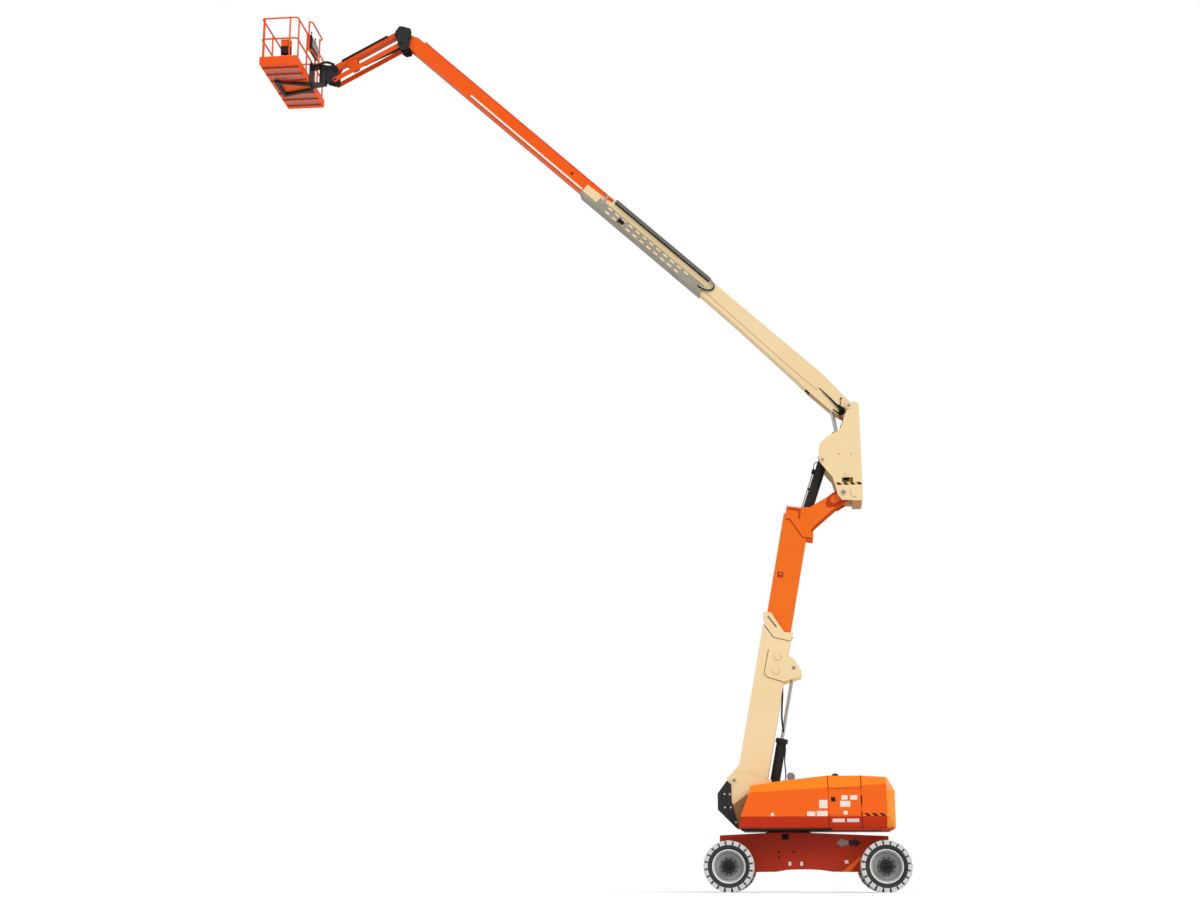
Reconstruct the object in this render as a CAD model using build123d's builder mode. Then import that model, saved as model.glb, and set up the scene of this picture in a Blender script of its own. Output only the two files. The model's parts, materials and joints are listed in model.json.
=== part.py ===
from build123d import *
import os
from math import cos, hypot, radians, sin

os.makedirs("parts", exist_ok=True)

# Articulating boom lift, shown with its tower raised, its boom out and its platform level.
# +X runs from the drive axle to the steered axle, +Y to the machine's left, +Z up.
# The origin is on the ground, under the centre of the swing.

# Gaps between pieces
RUN_GAP = 0.3
PIN_GAP = 0.05
SEAM = 6

# Running gear
REAR_AXLE_X = -1165
FRONT_AXLE_X = 1885
TRACK = 2060
TYRE_R = 495
TYRE_WIDTH = 380
TREAD_DEPTH = 40
LUG_ROOT_R = 405
LUGS_PER_SIDE = 20
RIM_R = 325
RIM_WALL = 12
RIM_DISC_OUT = 35
HUB_R = 137
HUB_LENGTH = 250
AXLE_TUBE_R = 85
AXLE_BOWL_R = 140
KING_PIN_Y = TRACK / 2 - 290
KING_PIN_R = 32
KNUCKLE_HEIGHT = 260
STEER_ARM = 180

# Chassis
CHASSIS_HALF = 500
CHASSIS_WALL = 14
CHASSIS_TOP_END = 1105
CHASSIS_TOP = 1150
CHASSIS_END_REAR = -1360
CHASSIS_END_FRONT = 1970
CHASSIS_ARCH = 640
CHASSIS_BELLY = 395
TIE_REACH = 55
TIE_HALF = 60
TIE_Y = 350
TIE_Z = 690
TIE_THICK = 25
TIE_HOLE_R = 32
SLEW_R = 450
SLEW_BOSS_TOP = 1176
SLEW_HEIGHT = 22

# Turntable
DECK_TOP = 1222
DECK_REAR = -900
DECK_FRONT = 2060
DECK_HALF = 1080
HOOD_IN = 400
HOOD_OUT = 1170
HOOD_FRONT_X = 1930
HOOD_WALL = 8
HOOD_WAIST_Z = 1448
HOOD_TUCK = 110
HOOD_SHOULDER_Z = 1953
HOOD_SHOULDER_RISE = 0.058
HOOD_SHOULDER_IN = 230
HOOD_SHOULDER_UP = 200
TAIL_X = 2096
TAIL_CHAMFER = 120
DOOR_REAR_X = 803
DOOR_FRONT_X = 1443
DOOR_LOW_Z = 1475
DOOR_HIGH_Z = 1975
DOOR_THICK = 20
HINGE_R = 9
HINGE_OUT = 6
HINGE_LENGTH = 70
SUPPORT_IN = 330
SUPPORT_THICK = 25
GUARD_THICK = 15
PLATE = 20

# Tower: its pivot, lean from the upright and sections
TOWER_PIVOT = (-1058, 2195)
TOWER_LEAN = 10.7
TOWER_PIN_R = 54
TOWER_TOP = -45
TOWER_UNDER = -655
TOWER_HALF = 285
TOWER_WALL = 8
TOWER_FOOT = 70
TOWER_END = 2990
TOWER_PAD = 220
TOWER_FLY_TOP = -88
TOWER_FLY_UNDER = -625
TOWER_FLY_HALF = 250
TOWER_FLY_WALL = 7
TOWER_FLY_REAR = 2400
TOWER_FLY_END = 5320
LUG_THICK = 20

# Upright between the two booms
UPRIGHT_PIVOT = (1316, 8088)
LEVEL_PIN = (903, 8795)
LIFT_PIN = (1390, 8480)
UPRIGHT_IN = 330
UPRIGHT_PLATE = 20
UPRIGHT_PIN_R = 54

# Main boom: its pivot, rise and sections
BOOM_PIVOT = (1484, 9951)
BOOM_RISE = 43
BOOM_PIN_R = 54
BOOM_TOP = 195
BOOM_UNDER = -180
BOOM_HALF = 180
BOOM_WALL = 8
BOOM_END = 7650
BOOM_PAD = 220
ROOT_END = 1311
FLY_TOP = 155
FLY_HALF = 140
FLY_WALL = 6
FLY_REAR = 6350
FLY_END = 13100
PUSH_BAR_REAR = 6870
NOSE_PIVOT_U = 13240
NOSE_PIVOT_V = 13
NOSE_PLATE = 18
NOSE_PIN_R = 34

# Jib: a parallel arm and pair of links
JIB_PIVOT = (-8390, 19120)
JIB_DROP = 28
JIB_LENGTH = 1720
JIB_LINK_DOWN = (10, -265)
JIB_HALF = 90
JIB_TOP = 125
JIB_UNDER = 15
JIB_WALL = 8
JIB_PIN_R = 30
CHEEK_IN = 96
CHEEK_OUT = 116
LINK_IN = 150
LINK_OUT = 175
LINK_DEPTH = 105

# Hydraulic cylinders: radii of barrel, head, rod and eye, the barrel's reach, how much of the rod
# is kept inside it, and half the eye's width
TOWER_CYL = dict(barrel=100, head=125, rod=35, reach=1650, kept=60, eye=70, eye_half=60)
LEVEL_CYL = dict(barrel=105, head=105, rod=45, reach=1150, kept=34, eye=60, eye_half=50)
LIFT_CYL = dict(barrel=80, head=95, rod=40, reach=1000, kept=250, eye=55, eye_half=45)
JIB_CYL = dict(barrel=42, head=48, rod=22, reach=980, kept=466, eye=42, eye_half=40)
TOWER_CYL_FOOT = (-390, 1420)
LEVEL_EYE = (150, 6562)

# Platform and its swivel
SWIVEL_X = -10215
SWIVEL_R = 95
SWIVEL_LOW = 18020
SWIVEL_HIGH = 18440
SWIVEL_PIN_R = 40
PLATFORM_REAR = -11368
PLATFORM_FRONT = -10507
PLATFORM_HALF = 1200
FLOOR_LOW = 18000
TOE_HEIGHT = 180
MID_RAIL_HEIGHT = 620
RAIL_HEIGHT = 1140
RAIL_R = 19
CONSOLE_RISE = 290
CONSOLE_HEIGHT = 390
CONSOLE_HALF = 280
CONSOLE_SHIFT = 20
GUARD_SPAN = 910
TOE_HIGH = FLOOR_LOW + TOE_HEIGHT
MID_RAIL_Z = FLOOR_LOW + MID_RAIL_HEIGHT
TOP_RAIL_Z = FLOOR_LOW + RAIL_HEIGHT
CONSOLE_TOP_Z = TOP_RAIL_Z + CONSOLE_RISE

# Working planes, each seen from the machine's right side
SIDE = Plane.XZ


def side_frame(origin, rise, forward):
    """A plane through origin in the machine's side view; forward is +1 or -1 along X."""
    along = (forward * cos(radians(rise)), 0, sin(radians(rise)))
    return Plane(origin=(origin[0], 0, origin[1]), x_dir=along, z_dir=(0, -forward, 0))


TOWER = side_frame(TOWER_PIVOT, 90 - TOWER_LEAN, 1)
BOOM = side_frame(BOOM_PIVOT, BOOM_RISE, -1)
JIB = side_frame(JIB_PIVOT, -JIB_DROP, -1)


def in_side_view(place, frame):
    """The (X, Z) of a place given in a side frame."""
    point = frame.from_local_coords(Vector(*place, 0))
    return (point.X, point.Z)


def in_frame(place, frame):
    """A side-view (X, Z) place in a side frame's own coordinates."""
    point = frame.to_local_coords(Vector(place[0], 0, place[1]))
    return (point.X, point.Y)


def across(frame, y_from, y_to):
    """The frame moved so that extruding it by y_to - y_from fills that stretch of Y."""
    return frame.offset(y_from if frame.z_dir.Y > 0 else -y_to)


def slab(outline, y_from, y_to, frame=SIDE, mode=Mode.ADD):
    with BuildSketch(across(frame, y_from, y_to)) as profile:
        with BuildLine():
            Polyline(*outline, close=True)
        make_face()
    extrude(profile.sketch, amount=y_to - y_from, mode=mode)


def cheeks(outline, y_in, y_out, frame=SIDE, mode=Mode.ADD):
    """The same plate on both sides of the machine."""
    slab(outline, y_in, y_out, frame, mode)
    slab(outline, -y_out, -y_in, frame, mode)


def pin(place, radius, y_from, y_to, frame=SIDE, mode=Mode.ADD):
    with BuildSketch(across(frame, y_from, y_to)) as disc:
        with Locations(place):
            Circle(radius)
    extrude(disc.sketch, amount=y_to - y_from, mode=mode)


def stub_pins(place, radius, y_in, y_out, frame=SIDE):
    pin(place, radius, y_in, y_out, frame)
    pin(place, radius, -y_out, -y_in, frame)


def block(x_span, y_span, z_span, mode=Mode.ADD):
    middle = tuple(sum(span) / 2 for span in (x_span, y_span, z_span))
    with Locations(middle):
        Box(*(span[1] - span[0] for span in (x_span, y_span, z_span)), mode=mode)


def bar(start, end, radius, mode=Mode.ADD):
    """A round bar from one point to another."""
    run = Vector(*end) - Vector(*start)
    with BuildSketch(Plane(origin=start, z_dir=run)) as section:
        Circle(radius)
    extrude(section.sketch, amount=run.length, mode=mode)


def finish(builder, name):
    builder.part.label = name
    export_step(builder.part, f"parts/{name}.step")


# Wheels: a lugged tyre on a dished rim, made about its own axle
tread_r = TYRE_R - TREAD_DEPTH
half_tyre = TYRE_WIDTH / 2

with BuildPart() as lug:
    with BuildSketch(Plane(origin=(LUG_ROOT_R, 0, 0), x_dir=(0, 1, 0), z_dir=(1, 0, 0))):
        with BuildLine():
            Polyline((-2, -6), (52, -6), (38, half_tyre), (-66, half_tyre), close=True)
        make_face()
    extrude(amount=TYRE_R - LUG_ROOT_R + 5)

with BuildPart() as tyre_form:
    with BuildSketch(Plane.XZ):
        with BuildLine():
            Polyline(
                (RIM_R, -half_tyre + 45), (LUG_ROOT_R - 30, -half_tyre + 4),
                (LUG_ROOT_R + 10, -half_tyre + 8),
                (tread_r, -half_tyre + 40), (tread_r, half_tyre - 40), (LUG_ROOT_R + 10, half_tyre - 8),
                (LUG_ROOT_R - 30, half_tyre - 4), (RIM_R, half_tyre - 45), close=True,
            )
        make_face()
    revolve(axis=Axis.Z)
    with PolarLocations(0, LUGS_PER_SIDE):
        add(lug.part)
    with PolarLocations(0, LUGS_PER_SIDE, start_angle=180 / LUGS_PER_SIDE):
        add(lug.part, rotation=(180, 0, 0))
    Cylinder(TYRE_R, TYRE_WIDTH, mode=Mode.INTERSECT)

with BuildPart() as rim_form:
    seat_r = RIM_R - RUN_GAP
    half_rim = half_tyre - 32
    hub_face = half_tyre - 20
    with BuildSketch(Plane.XZ):
        with BuildLine():
            Polyline(
                (seat_r, -half_rim), (seat_r, half_rim), (seat_r - RIM_WALL, half_rim),
                (seat_r - RIM_WALL - 30, RIM_DISC_OUT + 22), (HUB_R + 40, RIM_DISC_OUT),
                (HUB_R, RIM_DISC_OUT), (HUB_R, hub_face - 30), (HUB_R - 30, hub_face), (0, hub_face),
                (0, hub_face - HUB_LENGTH), (HUB_R, hub_face - HUB_LENGTH),
                (HUB_R, RIM_DISC_OUT - RIM_WALL),
                (HUB_R + 40, RIM_DISC_OUT - RIM_WALL), (seat_r - RIM_WALL - 24, RIM_DISC_OUT),
                (seat_r - RIM_WALL, -half_rim), close=True,
            )
        make_face()
    revolve(axis=Axis.Z)

hub_inner_y = TRACK / 2 + hub_face - HUB_LENGTH
for axle, axle_x in (("rear", REAR_AXLE_X), ("front", FRONT_AXLE_X)):
    for side, sign in (("left", 1), ("right", -1)):
        wheel_plane = Plane(origin=(axle_x, sign * TRACK / 2, TYRE_R), x_dir=(1, 0, 0),
                            z_dir=(0, sign, 0))
        with BuildPart(wheel_plane) as tyre:
            add(tyre_form.part)
        finish(tyre, f"tyre_{axle}_{side}")
        with BuildPart(wheel_plane) as rim:
            add(rim_form.part)
        finish(rim, f"rim_{axle}_{side}")

# Rear axle: a live axle bolted up under the chassis, with a bowl for its gears
axle_end = hub_inner_y - RUN_GAP
with BuildPart() as rear_axle:
    bar((REAR_AXLE_X, -axle_end, TYRE_R), (REAR_AXLE_X, axle_end, TYRE_R), AXLE_TUBE_R)
    with Locations((REAR_AXLE_X, 0, TYRE_R)):
        Sphere(AXLE_BOWL_R)
    for sign in (1, -1):
        bar((REAR_AXLE_X, sign * (axle_end - 40), TYRE_R), (REAR_AXLE_X, sign * axle_end, TYRE_R),
            HUB_R - 15)
        block((REAR_AXLE_X - 90, REAR_AXLE_X + 90), sorted((sign * 330, sign * 450)),
              (TYRE_R, CHASSIS_ARCH))
finish(rear_axle, "rear_axle")

# Front axle: a beam with forked ends for the king pins and a steering cylinder behind it
fork_gap = KNUCKLE_HEIGHT / 2 + RUN_GAP
fork_thick = 45
with BuildPart() as front_axle:
    beam_end = KING_PIN_Y - 110
    block((FRONT_AXLE_X - 80, FRONT_AXLE_X + 80), (-beam_end, beam_end), (TYRE_R - 90, TYRE_R + 90))
    block((FRONT_AXLE_X - 110, FRONT_AXLE_X + 110), (-200, 200), (TYRE_R, CHASSIS_ARCH))
    for sign in (1, -1):
        block((FRONT_AXLE_X - 60, FRONT_AXLE_X + 60), sorted((sign * (beam_end - 60), sign * beam_end)),
              (TYRE_R - fork_gap - fork_thick, TYRE_R + fork_gap + fork_thick))
        for level in (fork_gap, -fork_gap - fork_thick):
            block((FRONT_AXLE_X - 60, FRONT_AXLE_X + 60),
                  sorted((sign * (beam_end - 60), sign * KING_PIN_Y)),
                  (TYRE_R + level, TYRE_R + level + fork_thick))
            with Locations((FRONT_AXLE_X, sign * KING_PIN_Y, TYRE_R + level + fork_thick / 2)):
                Cylinder(60, fork_thick)
        with Locations((FRONT_AXLE_X, sign * KING_PIN_Y, TYRE_R)):
            Cylinder(KING_PIN_R + PIN_GAP, 2 * fork_gap + 2 * fork_thick + 2, mode=Mode.SUBTRACT)
    cylinder_x = FRONT_AXLE_X - STEER_ARM
    block((cylinder_x - 20, FRONT_AXLE_X - 60), (-140, 140), (TYRE_R - 30, TYRE_R + 30))
    bar((cylinder_x, -330, TYRE_R), (cylinder_x, 330, TYRE_R), 45)
    bar((cylinder_x, -570, TYRE_R), (cylinder_x, 570, TYRE_R), 22)
finish(front_axle, "front_axle")

# Steering knuckles: a king pin post, a stub for the wheel and an arm for the cylinder
for side, sign in (("left", 1), ("right", -1)):
    with BuildPart() as knuckle:
        with Locations((FRONT_AXLE_X, sign * KING_PIN_Y, TYRE_R)):
            Cylinder(75, KNUCKLE_HEIGHT)
            Cylinder(KING_PIN_R, KNUCKLE_HEIGHT + 2 * RUN_GAP + 2 * fork_thick)
        bar((FRONT_AXLE_X, sign * KING_PIN_Y, TYRE_R),
            (FRONT_AXLE_X, sign * (hub_inner_y - RUN_GAP), TYRE_R), HUB_R - 15)
        arm_x = FRONT_AXLE_X - STEER_ARM
        block((arm_x, FRONT_AXLE_X), sorted((sign * (KING_PIN_Y - 30), sign * (KING_PIN_Y + 30))),
              (TYRE_R - 30, TYRE_R + 30))
        with Locations((arm_x, sign * KING_PIN_Y, TYRE_R)):
            Cylinder(40, 60)
    finish(knuckle, f"knuckle_{side}")

# Chassis: a closed box frame, arched over both axles, with a round boss for the slew ring
chassis_outline = [
    (CHASSIS_END_REAR, CHASSIS_ARCH), (CHASSIS_END_REAR, CHASSIS_TOP_END), (-SLEW_R, CHASSIS_TOP),
    (SLEW_R, CHASSIS_TOP), (CHASSIS_END_FRONT, CHASSIS_TOP_END - 20), (CHASSIS_END_FRONT, CHASSIS_ARCH),
    (FRONT_AXLE_X - 395, CHASSIS_ARCH), (FRONT_AXLE_X - 470, CHASSIS_BELLY),
    (880, CHASSIS_BELLY + 6), (650, CHASSIS_BELLY + 40), (440, CHASSIS_BELLY + 52),
    (150, CHASSIS_BELLY + 52), (-60, CHASSIS_BELLY + 40), (-260, CHASSIS_BELLY + 6),
    (REAR_AXLE_X + 470, CHASSIS_BELLY), (REAR_AXLE_X + 395, CHASSIS_ARCH),
]
with BuildPart() as chassis_frame:
    slab(chassis_outline, -CHASSIS_HALF, CHASSIS_HALF)
    with BuildSketch(across(SIDE, CHASSIS_WALL - CHASSIS_HALF, CHASSIS_HALF - CHASSIS_WALL)) as inside:
        with BuildLine():
            Polyline(*chassis_outline, close=True)
        make_face()
        offset(amount=-CHASSIS_WALL, kind=Kind.INTERSECTION, mode=Mode.REPLACE)
    extrude(inside.sketch, amount=2 * (CHASSIS_HALF - CHASSIS_WALL), mode=Mode.SUBTRACT)
    with Locations((0, 0, CHASSIS_TOP - CHASSIS_WALL)):
        Cylinder(SLEW_R, SLEW_BOSS_TOP - CHASSIS_TOP + CHASSIS_WALL,
                 align=(Align.CENTER, Align.CENTER, Align.MIN))
    for end_x, out in ((CHASSIS_END_REAR, -1), (CHASSIS_END_FRONT, 1)):
        for sign in (1, -1):
            hole_x = end_x + out * TIE_REACH
            block(sorted((end_x - out * CHASSIS_WALL, hole_x + out * TIE_HALF)),
                  sorted((sign * (TIE_Y - TIE_HALF), sign * (TIE_Y + TIE_HALF))),
                  (TIE_Z, TIE_Z + TIE_THICK))
            with Locations((hole_x, sign * TIE_Y, TIE_Z + TIE_THICK / 2)):
                Cylinder(TIE_HOLE_R, TIE_THICK + 2, mode=Mode.SUBTRACT)
finish(chassis_frame, "chassis_frame")

with BuildPart() as slew_ring:
    with Locations((0, 0, SLEW_BOSS_TOP)):
        Cylinder(SLEW_R - 20, SLEW_HEIGHT, align=(Align.CENTER, Align.CENTER, Align.MIN))
        Cylinder(SLEW_R - 140, SLEW_HEIGHT, align=(Align.CENTER, Align.CENTER, Align.MIN),
                 mode=Mode.SUBTRACT)
finish(slew_ring, "slew_ring")

# Turntable: a deck plate with lugs for the tower cylinder
with BuildPart() as turntable_deck:
    block((DECK_REAR, DECK_FRONT), (-DECK_HALF, DECK_HALF),
          (SLEW_BOSS_TOP + SLEW_HEIGHT + RUN_GAP, DECK_TOP))
    foot_x, foot_z = TOWER_CYL_FOOT
    foot_outline = [(foot_x - 130, DECK_TOP), (foot_x - 60, foot_z + 60), (foot_x + 60, foot_z + 60),
                    (foot_x + 130, DECK_TOP)]
    cheeks(foot_outline, TOWER_CYL["barrel"] + SEAM, TOWER_CYL["barrel"] + SEAM + PLATE)
    pin(TOWER_CYL_FOOT, TOWER_CYL["rod"] + PIN_GAP, -200, 200, mode=Mode.SUBTRACT)
finish(turntable_deck, "turntable_deck")

# Tower support: two cheek plates that carry the tower's pivot pin
support_outline = [
    (TOWER_PIVOT[0] - 150, TOWER_PIVOT[1] + 63), (TOWER_PIVOT[0] + 198, TOWER_PIVOT[1] + 150),
    (TOWER_PIVOT[0] + 747, TOWER_PIVOT[1] + 8), (DECK_REAR + 750, DECK_TOP), (DECK_REAR, DECK_TOP),
    (DECK_REAR - 85, DECK_TOP + 18), (DECK_REAR - 220, DECK_TOP + 562),
    (TOWER_PIVOT[0] - 130, TOWER_PIVOT[1] - 140),
]
with BuildPart() as tower_support:
    cheeks(support_outline, SUPPORT_IN, SUPPORT_IN + SUPPORT_THICK)
    pin(TOWER_PIVOT, TOWER_PIN_R + PIN_GAP, -500, 500, mode=Mode.SUBTRACT)
finish(tower_support, "tower_support")

# Front guard: side plates on the support and a folded skin between them
guard_in = SUPPORT_IN + SUPPORT_THICK
guard_outline = [
    (-1209, 2189), (-1118, 2113), (-1116, 1784), (-979, 1246), (-1041, 1260), (-1396, 1614),
    (-1397, 1932),
]
guard_skin = [
    (-1397, 1932), (-1396, 1614), (-1041, 1260), (-1041 + GUARD_THICK, 1260 + GUARD_THICK),
    (-1396 + GUARD_THICK, 1614 + GUARD_THICK / 2), (-1397 + GUARD_THICK, 1932),
]
with BuildPart() as front_guard:
    cheeks(guard_outline, guard_in, guard_in + GUARD_THICK)
    slab(guard_skin, -guard_in, guard_in)
finish(front_guard, "front_guard")

# Hoods: folded sheet shells each side of the tower, tucked in below and shouldered above,
# with an opening for the service door
hood_outline = [
    (-955, DECK_TOP), (-921, HOOD_WAIST_Z), (-745, 1907), (-729, 2052), (-95, 2149), (775, 2245),
    (1458, 2240),
    (HOOD_FRONT_X, 2206), (HOOD_FRONT_X, DECK_TOP),
]
hinge_x = DOOR_FRONT_X + 3
hinge_y = HOOD_OUT + HINGE_OUT
door_knuckles = [(DOOR_LOW_Z + 60, HINGE_LENGTH), (DOOR_HIGH_Z - 60 - HINGE_LENGTH, HINGE_LENGTH)]


def side_wedge(sign, start_x, start_z, rise, section, length):
    """Cut away what lies outside a slanting face along a hood; section is (inward, up) steps."""
    plane = Plane(origin=(start_x, sign * (HOOD_OUT + 1), start_z), x_dir=(0, -sign, 0),
                  z_dir=(-sign, 0, 0))
    with BuildSketch(plane) as wedge:
        with BuildLine():
            Polyline(*section, close=True)
        make_face()
    extrude(wedge.sketch, amount=length, dir=(1, 0, rise), mode=Mode.SUBTRACT)


for side, sign in (("left", 1), ("right", -1)):
    outer = sign * HOOD_OUT
    with BuildPart() as hood:
        slab(hood_outline, *sorted((sign * HOOD_IN, outer)))
        side_wedge(sign, -1000, HOOD_SHOULDER_Z - 58, HOOD_SHOULDER_RISE,
                   [(-10, 0), (1, 0), (HOOD_SHOULDER_IN * 2, HOOD_SHOULDER_UP * 2),
                    (-10, HOOD_SHOULDER_UP * 2)], 3200)
        side_wedge(sign, -1000, HOOD_WAIST_Z, 0,
                   [(-10, 0), (1, 0), (HOOD_TUCK + 1, DECK_TOP - HOOD_WAIST_Z),
                    (-10, DECK_TOP - HOOD_WAIST_Z - 10)], 3200)
        offset(amount=-HOOD_WALL, openings=hood.faces().sort_by(Axis.Z)[0])
        block((DOOR_REAR_X, DOOR_FRONT_X + 2 * SEAM),
              sorted((sign * (HOOD_OUT - 40), sign * (HOOD_OUT + 40))),
              (DOOR_LOW_Z - SEAM, DOOR_HIGH_Z + SEAM), mode=Mode.SUBTRACT)
        for low, length in door_knuckles:
            z_span = (low + length + RUN_GAP, low + 2 * length)
            block((hinge_x, DOOR_FRONT_X + 4 * SEAM),
                  sorted((sign * (HOOD_OUT - HOOD_WALL), sign * hinge_y)), z_span)
            bar((hinge_x, sign * hinge_y, z_span[0]), (hinge_x, sign * hinge_y, z_span[1]), HINGE_R)
    finish(hood, f"hood_{side}")
    with BuildPart() as door:
        door_edge = hinge_x - HINGE_R - SEAM
        block((DOOR_REAR_X + SEAM, door_edge), sorted((sign * (HOOD_OUT - DOOR_THICK), outer)),
              (DOOR_LOW_Z, DOOR_HIGH_Z))
        for low, length in door_knuckles:
            block((door_edge - SEAM, hinge_x), sorted((sign * (HOOD_OUT - HOOD_WALL), sign * hinge_y)),
                  (low, low + length))
            bar((hinge_x, sign * hinge_y, low), (hinge_x, sign * hinge_y, low + length), HINGE_R)
    finish(door, f"door_{side}")

# Counterweight: a casting at the tail of each hood
with BuildPart() as counterweight:
    for sign in (1, -1):
        tail_x = HOOD_FRONT_X + RUN_GAP
        with BuildSketch(Plane.XY.offset(DECK_TOP)) as plan:
            with BuildLine():
                Polyline((tail_x, sign * HOOD_IN), (TAIL_X, sign * HOOD_IN),
                         (TAIL_X, sign * (HOOD_OUT - TAIL_CHAMFER)),
                         (tail_x + 60, sign * HOOD_OUT), (tail_x, sign * HOOD_OUT), close=True)
            make_face()
        extrude(plan.sketch, amount=1965 - DECK_TOP)
        side_wedge(sign, tail_x - 10, HOOD_WAIST_Z, 0,
                   [(-10, 0), (1, 0), (HOOD_TUCK + 1, DECK_TOP - HOOD_WAIST_Z),
                    (-10, DECK_TOP - HOOD_WAIST_Z - 10)], 300)
    slab([(tail_x, 1960), (tail_x, 2200), (tail_x + 30, 2200), (TAIL_X, 1960)], HOOD_IN,
         HOOD_OUT - HOOD_SHOULDER_IN)
    slab([(tail_x, 1960), (tail_x, 2200), (tail_x + 30, 2200), (TAIL_X, 1960)],
         HOOD_SHOULDER_IN - HOOD_OUT, -HOOD_IN)
finish(counterweight, "counterweight")

# Heavy masses closed in under the hoods
with BuildPart() as engine_block:
    block((150, 1250), (520, 1000), (DECK_TOP, 1900))
finish(engine_block, "engine_block")

with BuildPart() as battery_pack:
    block((150, 1150), (-1000, -520), (DECK_TOP, 1750))
finish(battery_pack, "battery_pack")


# Hydraulic cylinders: a bored barrel that hangs on its own cross pin, and a rod with an eye
def cylinder_pair(name, foot, eye, sizes, foot_pin_r, foot_pin_half, foot_bore):
    """Make barrel and rod along the line from foot to eye; foot_bore says the pin is another's."""
    reach = hypot(eye[0] - foot[0], eye[1] - foot[1])
    along = ((eye[0] - foot[0]) / reach, 0, (eye[1] - foot[1]) / reach)
    line = Plane(origin=(foot[0], 0, foot[1]), x_dir=(0, 1, 0), z_dir=along)
    with BuildPart() as barrel:
        with BuildSketch(line):
            Circle(sizes["barrel"])
        extrude(amount=sizes["reach"])
        with BuildSketch(line.offset(sizes["reach"] - 90)):
            Circle(sizes["head"])
        extrude(amount=90)
        pin(foot, max(foot_pin_r + 20, sizes["barrel"] * 0.9), -sizes["eye_half"], sizes["eye_half"])
        with BuildSketch(line.offset(foot_pin_r + 40)):
            Circle(sizes["rod"] + PIN_GAP)
        extrude(amount=sizes["reach"], mode=Mode.SUBTRACT)
        if foot_bore:
            block((foot[0] - 300, foot[0] + 300), (sizes["eye_half"], 400),
                  (foot[1] - 300, foot[1] + 300),
                  mode=Mode.SUBTRACT)
            block((foot[0] - 300, foot[0] + 300), (-400, -sizes["eye_half"]),
                  (foot[1] - 300, foot[1] + 300),
                  mode=Mode.SUBTRACT)
            pin(foot, foot_pin_r + PIN_GAP, -sizes["eye_half"] - 1, sizes["eye_half"] + 1,
                mode=Mode.SUBTRACT)
        else:
            pin(foot, foot_pin_r, -foot_pin_half, foot_pin_half)
    finish(barrel, f"{name}_barrel")
    with BuildPart() as rod:
        rod_foot = sizes["reach"] - sizes["kept"]
        with BuildSketch(line.offset(rod_foot)):
            Circle(sizes["rod"])
        extrude(amount=reach - rod_foot)
        pin(eye, sizes["eye"], -sizes["eye_half"], sizes["eye_half"])
        pin(eye, sizes["eye"] * 0.6, -sizes["eye_half"] - 1, sizes["eye_half"] + 1, mode=Mode.SUBTRACT)
    finish(rod, f"{name}_rod")


TOWER_EYE = in_side_view((2452, -810), TOWER)
LIFT_EYE = in_side_view((270, -230), BOOM)
JIB_EYE = in_side_view((1300, -150), JIB)
JIB_LINK_PIVOT = (JIB_PIVOT[0] + JIB_LINK_DOWN[0], JIB_PIVOT[1] + JIB_LINK_DOWN[1])
cylinder_pair("tower_cylinder", TOWER_CYL_FOOT, TOWER_EYE, TOWER_CYL, TOWER_CYL["rod"],
              TOWER_CYL["barrel"] + SEAM + PLATE + 5, False)
cylinder_pair("level_cylinder", LEVEL_PIN, LEVEL_EYE, LEVEL_CYL, 45, UPRIGHT_IN + UPRIGHT_PLATE + 5,
              False)
cylinder_pair("lift_cylinder", LIFT_PIN, LIFT_EYE, LIFT_CYL, 40, UPRIGHT_IN + UPRIGHT_PLATE + 5, False)
cylinder_pair("jib_cylinder", JIB_LINK_PIVOT, JIB_EYE, JIB_CYL, JIB_PIN_R, 0, True)

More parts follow.
